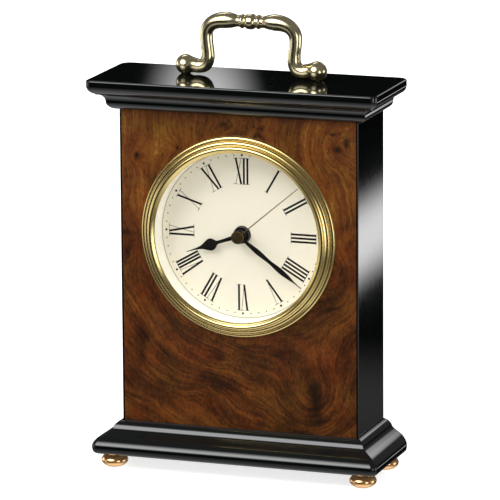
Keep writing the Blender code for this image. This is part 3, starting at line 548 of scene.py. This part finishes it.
# CAD nodes whose shape stays as it is, and the material each one gets
KEPT = {
    "front_board": BOARD,
    "lower_hinge_case_leaf": HINGE_BRASS,
    "lower_hinge_door_leaf": HINGE_BRASS,
    "upper_hinge_case_leaf": HINGE_BRASS,
    "upper_hinge_door_leaf": HINGE_BRASS,
    "lower_hinge_pin": STEEL,
    "upper_hinge_pin": STEEL,
    "catch_magnet": MAGNET,
    "catch_plate": CONTACT,
    "handle_screw_left": STEEL,
    "handle_screw_right": STEEL,
    "foot_screw_front_left": STEEL,
    "foot_screw_front_right": STEEL,
    "foot_screw_rear_left": STEEL,
    "foot_screw_rear_right": STEEL,
    "movement_front_plate": BLACK_PLASTIC,
    "movement_back_case": BLACK_PLASTIC,
    "movement_screw_upper": STEEL,
    "movement_screw_lower": STEEL,
    "middle_plate": BLACK_PLASTIC,
    "stator": MOTOR_STEEL,
    "coil_bobbin": WHITE_PLASTIC,
    "coil_winding": WIRE,
    "rotor": MAGNET,
    "fifth_wheel": WHITE_PLASTIC,
    "seconds_wheel": WHITE_PLASTIC,
    "third_wheel": WHITE_PLASTIC,
    "centre_wheel": WHITE_PLASTIC,
    "minute_wheel": WHITE_PLASTIC,
    "hour_wheel": BLACK_PLASTIC,
    "setting_knob": BLACK_PLASTIC,
    "circuit_board": GREEN_BOARD,
    "timing_chip": BLACK_PLASTIC,
    "quartz_crystal": CONTACT,
    "battery": LABEL,
    "battery_contact_negative": CONTACT,
    "battery_contact_positive": CONTACT,
}


def dress_kept_nodes():
    for name, material in KEPT.items():
        for slot in NODES[name].material_slots:
            slot.material = material


# Case


def moulding(name, outline, top):
    """A board whose moulded edge runs round the front and sides; outline is (out, up) pairs."""
    back = extent(name)[1].y
    widest = max(out for out, up in outline)
    rings = []
    for out, up in outline:
        near = 0.3 + 2.4 * (out / widest) ** 3  # the front corners' radius, more where the edge stands out
        far = 1.6 * near  # and the back corners'
        front = BODY_FRONT - out
        ring = []
        for side, y, corner, start in (
            (-1, front + near, near, 180), (1, front + near, near, 270),
            (1, back - far, far, 0), (-1, back - far, far, 90),
        ):
            x = side * (BODY_HALF_WIDTH + out - corner)
            ring += arc(x, y, corner, corner, start, start + 90, 6)
        rings.append([(x, y, top + up) for x, y in ring])
    made = keep_flats_flat(piece(name + "_moulding", loft(rings), LACQUER, "case", sharp=30))
    return stand_for(made, name)


def top_board():
    """Bead, cove and ovolo, as on the CAD board but smooth."""
    overhang = TOP_HIGH.x - BODY_HALF_WIDTH
    bead = arc(0.0, 3.6, 4.5, 3.6, -80, 0, 16)
    cove = arc(8.1, 3.6, 3.6, 3.4, 180, 90, 14)[1:]
    ovolo = arc(7.3, 11.2, overhang - 7.3, 4.0, -78, 0, 16)
    arris = arc(overhang - 0.7, 12.6, 0.7, 0.7, 0, 90, 5)
    moulding("top_board", [(0.0, 0.0)] + bead + cove + ovolo + arris, TOP_LOW.z)


def plinth_base():
    """A bullnose that sweeps up through a shallow cove into a bead."""
    overhang = BASE_HIGH.x - BODY_HALF_WIDTH
    outline = smooth(
        [(overhang - 1.5, -14.3), (overhang - 0.5, -13.4), (overhang, -11.0), (overhang - 0.6, -9.1),
         (overhang - 2.5, -6.95), (5.6, -5.1), (3.75, -3.7), (2.9, -2.05), (1.5, -0.6), (0.0, 0.0)], 7)
    stretch = (BASE_HIGH.z - BASE_LOW.z) / -outline[0][1]
    moulding("plinth_base", [(out, up * stretch) for out, up in outline], BASE_HIGH.z)


def side_panel(word, side):
    """A board with softened edges and the rebate that the veneer laps over."""
    inside = abs(SIDE_LOW.x)
    lap = VENEER_HIGH.x + 0.3
    rebate = VENEER_HIGH.y + 0.3
    edge = 0.4
    outline = [(inside, BODY_BACK), (inside, rebate), (lap, rebate), (lap, BODY_FRONT)]
    outline += arc(BODY_HALF_WIDTH - edge, BODY_FRONT + edge, edge, edge, -90, 0, 5)
    outline += arc(BODY_HALF_WIDTH - edge, BODY_BACK - edge, edge, edge, 0, 90, 5)
    rings = [[(side * x, y, z) for x, y in outline] for z in (SIDE_LOW.z, SIDE_HIGH.z)]
    made = keep_flats_flat(piece(f"{word}_side", loft(rings), LACQUER, "case", sharp=30))
    stand_for(made, f"{word}_side_panel")


def veneer():
    """The veneered sheet, pressed up to the mouldings and bored for the bezel's sleeve."""
    half = VENEER_HIGH.x
    low, high = BASE_HIGH.z - DIAL_Z, TOP_LOW.z - DIAL_Z
    edge = [(-half, low), (half, low), (half, high), (-half, high)]
    bore = circle(SLEEVE_OUTSIDE + 0.3, steps=128)
    sheet = flat([edge, bore], VENEER_HIGH.y - VENEER_LOW.y, 0.08)
    at = (0, (VENEER_LOW.y + VENEER_HIGH.y) / 2, DIAL_Z)
    made = piece("veneer_sheet", sheet, BURL, "case", at, FACING_FRONT)
    stand_for(made, "burl_veneer_panel")


def rounded_slab(low, high, edge, steps=4):
    """A box with every edge rounded."""
    bm = bmesh.new()
    bmesh.ops.create_cube(bm, size=1.0)
    for vert in bm.verts:
        vert.co = Vector(low[i] if vert.co[i] < 0 else high[i] for i in range(3))
    bmesh.ops.bevel(bm, geom=list(bm.edges), offset=edge, segments=steps, profile=0.5, affect="EDGES")
    return bm


def back_door():
    low, high = extent("back_door")
    door = keep_flats_flat(piece("rear_door_panel", rounded_slab(low, high, 0.5), LACQUER, "rear_door"))
    stand_for(door, "back_door")
    low, high = extent("door_knob")
    reach = 4.7
    knob = [(0.0, reach)] + arc(0.0, 3.2, 4.3, 1.5, 84, 0, 12) + arc(1.9, 2.2, 2.4, 1.0, 0, -80, 8)
    knob += [(1.9, 1.1), (1.9, 0.7), (2.6, 0.5), (2.6, 0.3), (1.2, 0.3), (1.2, -1.5), (0.0, -1.5)]
    centre = middle_of("door_knob")
    at = (centre.x, high.y - reach, centre.z)
    made = piece("door_pull", turned(knob, 64), BRASS, "rear_door", at, FACING_BACK)
    stand_for(made, "door_knob")


# Feet and handle

SCREW_HOLE, NECK_RADIUS, NECK_LOW = 1.5, 3.2, 5.6
GRIP_HEIGHT = 23.4


def feet():
    bun = arc(0.0, 2.9, 5.7, 3.1, 58, -69, 28)
    sole = [(SCREW_HOLE, 0.0), (SCREW_HOLE, 2.2)]
    for row in ("front", "rear"):
        for word in ("left", "right"):
            node = f"foot_{row}_{word}"
            top = extent(node)[1].z
            profile = [(SCREW_HOLE, top), (NECK_RADIUS, top), (NECK_RADIUS, NECK_LOW)] + bun + sole
            centre = middle_of(node)
            made = piece(f"{node}_bun", turned(profile, 64), COPPER_BRASS, "case", (centre.x, centre.y, 0))
            stand_for(made, node)


def handle_half(ball_x, ball_height, ball_radius):
    """(x, height, radius) along the right half, from the middle of the grip to the ball's tip."""
    beads = [(0.0, 3.35), (0.9, 3.3), (1.7, 2.95), (2.2, 2.55), (2.8, 2.6), (3.3, 3.05), (3.9, 3.05),
             (4.4, 2.6), (5.6, 2.4)]
    ornament = smooth([(x, GRIP_HEIGHT, radius) for x, radius in beads], 4)
    bend = smooth(
        [(5.6, GRIP_HEIGHT, 2.4), (8.2, 23.5, 3.15), (11.0, 23.5, 3.5), (14.6, 23.0, 3.3),
         (17.6, 21.5, 3.0), (19.5, 18.6, 2.8), (19.6, 14.6, 2.7), (19.1, 10.3, 2.7),
         (19.1, 6.9, 2.85), (20.4, 4.3, 3.0), (22.9, 3.5, 2.95), (25.0, 3.8, 3.1)], 8)
    ball = [
        (ball_x + ball_radius * math.cos(math.radians(angle)), ball_height,
         ball_radius * math.sin(math.radians(angle)))
        for angle in range(128, 3, -8)
    ]
    return ornament[:-1] + bend[:-1] + ball


def swept(stations, around=40):
    """A round bar along (x, height, radius) stations in one upright plane, cut flat at its foot."""
    foot = 0.05
    rings = []
    for index, (x, height, radius) in enumerate(stations):
        before = Vector(stations[max(index - 1, 0)][:2])
        after = Vector(stations[min(index + 1, len(stations) - 1)][:2])
        along = (after - before).normalized()
        across = Vector((-along.y, along.x))
        ring = []
        for u, v in circle(radius, steps=around):
            ring.append((x + across.x * u, v, max(foot, height + across.y * u)))
        rings.append(ring)
    return loft(rings)


def handle():
    ball_radius = 4.25
    ball_x = extent("handle")[1].x - ball_radius
    right = handle_half(ball_x, ball_radius - 0.35, ball_radius)
    left = [(-x, height, radius) for x, height, radius in right[:0:-1]]
    at = (0, MIDDLE_Y, TOP_HIGH.z)
    made = piece("handle_casting", swept(left + right), BRASS, "case", at, sharp=60)
    stand_for(made, "handle")


# Dial, bezel and glass


# Ridges, outermost first: radius and rise of the round's centre, its radius, its arc and its steps
RIDGES = (
    (41.8, 0.35, 1.1, -30, 108, 14), (39.9, 1.85, 1.15, -3, 108, 12), (37.95, 3.3, 1.2, -3, 140, 16),
)
SLEEVE_INSIDE, SLEEVE_OUTSIDE, SLEEVE_BACK = 37.9, 38.5, -5.6
FLANGE_BACK = 3.0


def bezel():
    profile = []
    for radius, rise, roundness, start, end, steps in RIDGES:
        profile += arc(radius, rise, roundness, roundness, start, end, steps)
    profile += [(36.7, 3.85), (36.35, 3.6), (36.15, 3.35), (36.1, 3.15), (36.15, FLANGE_BACK)]
    profile += [(SLEEVE_INSIDE, FLANGE_BACK), (SLEEVE_INSIDE, SLEEVE_BACK)]
    profile += [(SLEEVE_OUTSIDE, SLEEVE_BACK), (SLEEVE_OUTSIDE, 0.3)]
    at = (0, BODY_FRONT, DIAL_Z)
    made = piece("bezel_ring", turned(profile, 240), SPUN_BRASS, "case", at, FACING_FRONT, sharp=40)
    stand_for(made, "bezel")


def dial_pieces():
    """The glass, the ring round the dial and the dial itself."""
    at = (0, BODY_FRONT, DIAL_Z)
    seat = 37.6
    face, back, arris = 2.7, 1.9, 0.15
    pane = [(0.0, face), (seat - arris, face), (seat, face - arris), (seat, back + arris),
            (seat - arris, back), (0.0, back)]
    glass = piece("crystal", turned(pane, 192), GLASS, "case", at, FACING_FRONT)
    glass.visible_shadow = False
    stand_for(glass, "glass")
    behind = BODY_FRONT - DIAL_FACE + 0.3
    ring = [(seat, 0.6), (seat, behind), (36.0, behind), (36.0, behind + 0.25), (37.0, 0.35), (37.15, 0.6)]
    made = piece("reflector_ring", turned(ring, 240), CARD, "case", at, FACING_FRONT)
    stand_for(made, "rehaut_ring")
    arbor_hole = circle(3.75, steps=64)
    sheet = flat([circle(DIAL_RADIUS, steps=192), arbor_hole], DIAL_HIGH.y - DIAL_LOW.y)
    at = (0, (DIAL_LOW.y + DIAL_HIGH.y) / 2, DIAL_Z)
    made = piece("dial_disc", sheet, IVORY, "case", at, FACING_FRONT)
    stand_for(made, "dial")


NUMERALS = ("XII", "I", "II", "III", "IIII", "V", "VI", "VII", "VIII", "IX", "X", "XI")
NUMERAL_INSIDE, NUMERAL_OUTSIDE = 21.4, 32.6
THICK, THIN = 0.86, 0.19
ADVANCE = {"I": 1.55, "V": 3.35, "X": 3.25}
WIDEST_NUMERAL = 6.7
INK_DEPTH = 0.03
LAYER = 0.0004  # between crossing strokes
DOT_RING, HOUR_DOT, MINUTE_DOT = 33.85, 0.48, 0.27
# Inner and outer radius of the grey ring of painted shadow where the rehaut ring meets the dial
SEAM_SHADOW_RADII = (35.55, 35.8)


def stroke(start, end, width, level):
    """An upright-ended slanted bar, with its ends cut along X."""
    (x0, y0), (x1, y1) = start, end
    half = width / 2
    return [(x0 - half, y0, level), (x0 + half, y0, level), (x1 + half, y1, level), (x1 - half, y1, level)]


def letter(kind, x, low, high, squeeze, level):
    """Strokes and serifs of one letter whose middle is at x."""
    spread = 1.22 * squeeze
    reach = 0.95 * squeeze
    bars = []
    serifs = []
    if kind == "I":
        bars.append(stroke((x, low), (x, high), THICK, level))
        serifs += [(x, low, 1), (x, high, -1)]
    if kind == "V":
        bars.append(stroke((x + 0.15, low), (x - spread, high), THICK, level))
        bars.append(stroke((x + 0.15, low), (x + spread, high), THIN, level))
        serifs += [(x - spread, high, -1), (x + spread, high, -1)]
    if kind == "X":
        bars.append(stroke((x + spread, low), (x - spread, high), THICK, level))
        bars.append(stroke((x - spread, low), (x + spread, high), THIN, level))
        serifs += [(side * spread + x, y, way) for side in (-1, 1) for y, way in ((low, 1), (high, -1))]
    for at, y, inward in serifs:
        bars.append(stroke((at, y), (at, y + inward * THIN), 2 * reach, level))
    return bars


def ink(name, shapes, material, at_front):
    """Thin printed shapes on the dial, given as corners in the dial's plane."""
    bm = bmesh.new()
    for corners in shapes:
        bm.faces.new([bm.verts.new(p) for p in corners])
    bmesh.ops.recalc_face_normals(bm, faces=bm.faces)
    made = piece(name, bm, material, "case", (0, at_front, DIAL_Z), FACING_FRONT)
    return made


def dial_print():
    """The numerals, the dots, and a fine grey line of painted shadow round the dial's edge, where the rehaut
    ring meets it.
    """
    shapes = []
    for hour, numeral in enumerate(NUMERALS):
        total = sum(ADVANCE[kind] for kind in numeral)
        squeeze = min(1.0, WIDEST_NUMERAL / total)
        x = -total * squeeze / 2
        turn = Matrix.Rotation(-math.tau * hour / 12, 3, "Z")
        for index, kind in enumerate(numeral):
            x += ADVANCE[kind] * squeeze / 2
            level = LAYER * index
            for bar in letter(kind, x, NUMERAL_INSIDE, NUMERAL_OUTSIDE, squeeze, level):
                shapes.append([turn @ Vector(p) for p in bar])
            x += ADVANCE[kind] * squeeze / 2
    ink("dial_numerals", shapes, INK, DIAL_FACE - INK_DEPTH)
    dots = {"dial_hour_dots": [], "dial_minute_dots": []}
    for minute in range(60):
        angle = math.tau * minute / 60
        on_hour = minute % 5 == 0
        radius = HOUR_DOT if on_hour else MINUTE_DOT
        x, y = DOT_RING * math.sin(angle), DOT_RING * math.cos(angle)
        name = "dial_hour_dots" if on_hour else "dial_minute_dots"
        dots[name].append([(u, v, 0.0) for u, v in circle(radius, x, y, 16)])
    for name, shapes in dots.items():
        ink(name, shapes, INK, DIAL_FACE - INK_DEPTH)
    # The grey ring is painted shadow, printed where the rehaut ring meets the dial
    inner, outer = (circle(radius, steps=180) for radius in SEAM_SHADOW_RADII)
    ends = zip(inner, outer, outer[1:] + outer[:1], inner[1:] + inner[:1])
    line = [[(x, y, 0.0) for x, y in corners] for corners in ends]
    ink("dial_seam_shadow_line", line, SEAM_SHADOW, DIAL_FACE - INK_DEPTH)


# Hands

HOUR_ANGLE, MINUTE_ANGLE, SECONDS_ANGLE = 250.6, 126.9, 50.0  # clockwise from twelve, at rest


def hand_outline(stations, hub_radius):
    """A hand that points up: half widths at distances from its centre, and a round hub."""
    reach, half_width = stations[0]
    start = math.degrees(math.atan2(reach, half_width))
    hub = arc(0.0, 0.0, hub_radius, hub_radius, 180 - start, 360 + start, 64)
    right = [(half, along) for along, half in smooth(stations, 8)]
    left = [(-half, along) for half, along in right[::-1]]
    return hub + right[1:] + left[:-1]


def hand(node, stations, hub_radius, bore, angle, edge, material, body):
    low, high = extent(node)
    thickness = high.y - low.y
    outlines = [hand_outline(stations, hub_radius), circle(bore, steps=48)]
    plane = (low.y + high.y) / 2
    turn = (math.pi / 2, math.radians(angle), 0.0)
    sheet = flat(outlines, thickness, edge)
    made = piece(f"{node}_blade", sheet, material, body, (0, plane, DIAL_Z), turn, sharp=50)
    return stand_for(made, node)


def hands():
    """Half widths at distances from the centre shape each hand."""
    spade = [(3.37, 0.95), (8.0, 0.74), (11.1, 0.76), (12.2, 1.65), (13.4, 2.45), (14.7, 2.55),
             (16.2, 1.95), (17.8, 1.1), (19.5, 0.6), (22.0, 0.3), (25.7, 0.12)]
    leaf = [(2.5, 0.55), (6.0, 0.82), (10.0, 1.1), (13.2, 0.95), (16.6, 0.72), (20.0, 0.95),
            (23.4, 1.1), (27.0, 0.75), (30.4, 0.25), (34.0, 0.12)]
    needle = [(1.8, 0.25), (34.8, 0.16)]
    hand("hour_hand", spade, 3.45, 2.65, HOUR_ANGLE, 0.05, HAND_BLACK, "hour_train")
    hand("minute_hand", leaf, 2.6, 1.65, MINUTE_ANGLE, 0.05, HAND_BLACK, "minute_train")
    hand("seconds_hand", needle, 1.8, 0.65, SECONDS_ANGLE, 0.03, GILT, "seconds_train")
    low, high = extent("seconds_cap")
    top = high.y - low.y
    cap = [(0.0, top), (1.8, top - 0.02), (2.5, top - 0.06), (2.68, top - 0.12), (2.75, top - 0.22),
           (2.75, 0.0), (0.0, 0.0)]
    made = piece("hand_cap", turned(cap, 64), BRONZE, "seconds_train", (0, high.y, DIAL_Z), FACING_FRONT)
    stand_for(made, "seconds_cap")


# Camera, light and floor

CAMERA_AIM = Vector((-0.99, 4.86, 97.57))
CAMERA_AZIMUTH, CAMERA_ELEVATION, CAMERA_ROLL = 19.38, 12.43, -0.38
CAMERA_DISTANCE, CAMERA_LENS, CAMERA_SHIFT = 1975.7, 338.1, -0.0203

ROOM, WHITE = 0.40, 1.2  # light on the clock, and what the camera sees behind it
DARK, WALLS, CEILING, TABLE, NEAR_TABLE = 0.003, 0.10, 0.03, 0.3, 0.55  # in gloss
GAP_CORE, GAP_EDGE = 11, 24  # degrees from a mirrored direction within which the walls go dark
# Directions that the front, the right side and the top mirror to the camera; the room is dark there
MIRRORED = (
    (-CAMERA_AZIMUTH, -CAMERA_ELEVATION),
    (180 - CAMERA_AZIMUTH, -CAMERA_ELEVATION),
    (CAMERA_AZIMUTH - 180, CAMERA_ELEVATION),
)


def towards(azimuth, elevation):
    """The direction from the clock to a place round it; azimuth 0 is straight in front."""
    a, e = math.radians(azimuth), math.radians(elevation)
    return Vector((math.sin(a) * math.cos(e), -math.cos(a) * math.cos(e), math.sin(e)))


def camera():
    back = towards(CAMERA_AZIMUTH, CAMERA_ELEVATION)
    data = bpy.data.cameras.new("camera")
    data.sensor_width = 36.0
    data.lens = CAMERA_LENS
    data.shift_y = CAMERA_SHIFT
    data.clip_start, data.clip_end = 0.1, 50.0
    made = bpy.data.objects.new("camera", data)
    bpy.context.scene.collection.objects.link(made)
    roll = Matrix.Rotation(math.radians(CAMERA_ROLL), 4, "Z")
    made.matrix_world = Matrix.Translation((CAMERA_AIM + back * CAMERA_DISTANCE) * MM) @ (
        back.to_track_quat("Z", "Y").to_matrix().to_4x4() @ roll)
    bpy.context.scene.camera = made


def sun(name, azimuth, elevation, strength, softness):
    data = bpy.data.lights.new(name, "SUN")
    data.energy = strength
    data.angle = math.radians(softness)
    made = bpy.data.objects.new(name, data)
    made.rotation_euler = towards(azimuth, elevation).to_track_quat("Z", "Y").to_euler()
    made.visible_glossy = False
    bpy.context.scene.collection.objects.link(made)


def glow(name, strength):
    """A soft box's cloth: bright in the middle and fading to its edges."""
    made = bpy.data.materials.new(name)
    made.use_nodes = True
    nodes, links = made.node_tree.nodes, made.node_tree.links
    nodes.clear()
    place = nodes.new("ShaderNodeTexCoord")
    centred = nodes.new("ShaderNodeVectorMath")
    centred.operation = "MULTIPLY_ADD"
    centred.inputs[1].default_value = (2, 2, 0)
    centred.inputs[2].default_value = (-1, -1, 0)
    links.new(place.outputs["Generated"], centred.inputs[0])
    length = nodes.new("ShaderNodeVectorMath")
    length.operation = "LENGTH"
    links.new(centred.outputs[0], length.inputs[0])
    fade = nodes.new("ShaderNodeMapRange")
    fade.interpolation_type = "SMOOTHSTEP"
    fade.inputs["From Min"].default_value = 1.0
    fade.inputs["From Max"].default_value = 0.15
    fade.inputs["To Max"].default_value = strength
    links.new(length.outputs["Value"], fade.inputs["Value"])
    light = nodes.new("ShaderNodeEmission")
    links.new(fade.outputs[0], light.inputs["Strength"])
    both = nodes.new("ShaderNodeAddShader")  # clear cloth, so one box does not hide the next
    links.new(light.outputs[0], both.inputs[0])
    links.new(nodes.new("ShaderNodeBsdfTransparent").outputs[0], both.inputs[1])
    out = nodes.new("ShaderNodeOutputMaterial")
    links.new(both.outputs[0], out.inputs["Surface"])
    return made


def soft_box(name, azimuth, elevation, distance, width, height, strength, around=CAMERA_AIM, roll=0.0):
    """A glowing sheet that shows only in glossy surfaces, hung in this direction from a point."""
    bm = bmesh.new()
    bmesh.ops.create_grid(bm, x_segments=1, y_segments=1, size=0.5)
    mesh = bpy.data.meshes.new(name)
    bm.to_mesh(mesh)
    bm.free()
    mesh.materials.append(glow(name, strength))
    made = bpy.data.objects.new(name, mesh)
    way = towards(azimuth, elevation)
    turn = (-way).to_track_quat("Z", "Y").to_matrix().to_4x4() @ Matrix.Rotation(math.radians(roll), 4, "Z")
    size = Matrix.Diagonal((width * MM, height * MM, 1.0, 1.0))
    made.matrix_world = Matrix.Translation((Vector(around) + way * distance) * MM) @ turn @ size
    bpy.context.scene.collection.objects.link(made)
    made.visible_camera = False
    made.visible_diffuse = False
    made.visible_transmission = False
    made.visible_shadow = False


def world():
    """White behind the clock, even light on it, and in its gloss a dark room over a pale table."""
    made = bpy.data.worlds.new("studio")
    made.use_nodes = True
    nodes, links = made.node_tree.nodes, made.node_tree.links

    def node(kind, **settings):
        found = nodes.new(f"ShaderNode{kind}")
        for key, value in settings.items():
            setattr(found, key, value)
        return found

    def math_node(operation, *values):
        found = node("Math", operation=operation)
        for socket, value in zip(found.inputs, values):
            if isinstance(value, bpy.types.NodeSocket):
                links.new(value, socket)
            else:
                socket.default_value = value
        return found.outputs[0]

    def rise(value, low, high, level):
        found = node("MapRange", interpolation_type="SMOOTHSTEP")
        found.inputs["From Min"].default_value = math.sin(math.radians(low))
        found.inputs["From Max"].default_value = math.sin(math.radians(high))
        found.inputs["To Max"].default_value = level
        links.new(value, found.inputs["Value"])
        return found.outputs[0]

    direction = node("TexCoord").outputs["Generated"]
    split = node("SeparateXYZ")
    links.new(direction, split.inputs[0])
    up = split.outputs["Z"]
    down = math_node("MULTIPLY", up, -1.0)
    ceiling = rise(up, 16.0, 34.0, CEILING)
    table = math_node("ADD", rise(down, 22.0, 42.0, TABLE), rise(down, 42.0, 65.0, NEAR_TABLE))
    walls = WALLS
    for azimuth, elevation in MIRRORED:
        facing = node("VectorMath", operation="DOT_PRODUCT")
        links.new(direction, facing.inputs[0])
        facing.inputs[1].default_value = towards(azimuth, elevation)
        gap = node("MapRange", interpolation_type="SMOOTHSTEP")
        gap.inputs["From Min"].default_value = math.cos(math.radians(GAP_EDGE))
        gap.inputs["From Max"].default_value = math.cos(math.radians(GAP_CORE))
        gap.inputs["To Min"].default_value = 1.0
        gap.inputs["To Max"].default_value = 0.0
        links.new(facing.outputs["Value"], gap.inputs["Value"])
        walls = math_node("MULTIPLY", walls, gap.outputs[0])
    in_gloss = math_node("ADD", math_node("ADD", ceiling, table), math_node("ADD", walls, DARK))
    ray = node("LightPath")
    gloss = math_node("MAXIMUM", ray.outputs["Is Glossy Ray"], ray.outputs["Is Transmission Ray"])
    gloss = math_node("MULTIPLY", gloss, math_node("LESS_THAN", ray.outputs["Diffuse Depth"], 0.5))
    level = math_node("MULTIPLY_ADD", gloss, math_node("SUBTRACT", in_gloss, ROOM), ROOM)
    level = math_node("MAXIMUM", level, math_node("MULTIPLY", ray.outputs["Is Camera Ray"], WHITE))
    back = nodes["Background"]
    back.inputs["Color"].default_value = (1, 1, 1, 1)
    links.new(level, back.inputs["Strength"])
    bpy.context.scene.world = made


def floor():
    """Pale paper, lit from within a little so that the clock's shadow stays faint."""
    bm = bmesh.new()
    bmesh.ops.create_grid(bm, x_segments=1, y_segments=1, size=6.0)
    mesh = bpy.data.meshes.new("floor")
    bm.to_mesh(mesh)
    bm.free()
    material = Finish("floor_paper", (0.9, 0.9, 0.9), 0.9, Emission_Color=(1, 1, 1, 1),
                      Emission_Strength=0.75)
    material.use("Base Color", material.mix(material.noise(material.place, 0.01, 3.0),
                                            (0.90, 0.90, 0.90), (0.93, 0.93, 0.93)))
    mesh.materials.append(material.material)
    made = bpy.data.objects.new("floor", mesh)
    bpy.context.scene.collection.objects.link(made)
    made.visible_glossy = False
    made.visible_diffuse = False
    made.visible_transmission = False


def studio():
    scene = bpy.context.scene
    scene.view_settings.view_transform = "Standard"
    world()
    floor()
    sun("key_sun", -38, 48, 1.5, 32)
    sun("fill_sun", 50, 25, 1.15, 60)
    # Seen in the right side and in the top, which mirror the view that way
    soft_box("box_behind_right", 180 - CAMERA_AZIMUTH, -CAMERA_ELEVATION, 900, 420, 60, 2.9,
             (BODY_HALF_WIDTH, 5.0, 89.0), -34)
    soft_box("box_behind_low", 180 - CAMERA_AZIMUTH, -CAMERA_ELEVATION, 900, 260, 90, 0.1,
             (BODY_HALF_WIDTH, 5.0, -2.0))
    soft_box("box_behind_left", CAMERA_AZIMUTH - 180, CAMERA_ELEVATION, 900, 84, 130, 1.5,
             (-36.0, 18.0, TOP_HIGH.z))
    # Broad highlights on the mouldings and the metal
    soft_box("box_front_left", -24, 33, 1200, 1700, 1300, 6.0)
    soft_box("box_above", -145, 54, 1200, 900, 380, 2.5)
    soft_box("box_back", 174, 21, 1400, 900, 200, 1.8)
    soft_box("box_left", -100, 0, 1100, 1100, 1000, 1.8)
    soft_box("box_right", 105, -5, 1100, 900, 1000, 2.0)
    soft_box("box_front_right", 50, 0, 1200, 600, 1000, 3.2)
    soft_box("box_far_left", -64, -8, 1200, 800, 1000, 0.9)


dress_kept_nodes()
top_board()
plinth_base()
side_panel("left", -1)
side_panel("right", 1)
veneer()
back_door()
feet()
handle()
bezel()
dial_pieces()
dial_print()
hands()
camera()
studio()
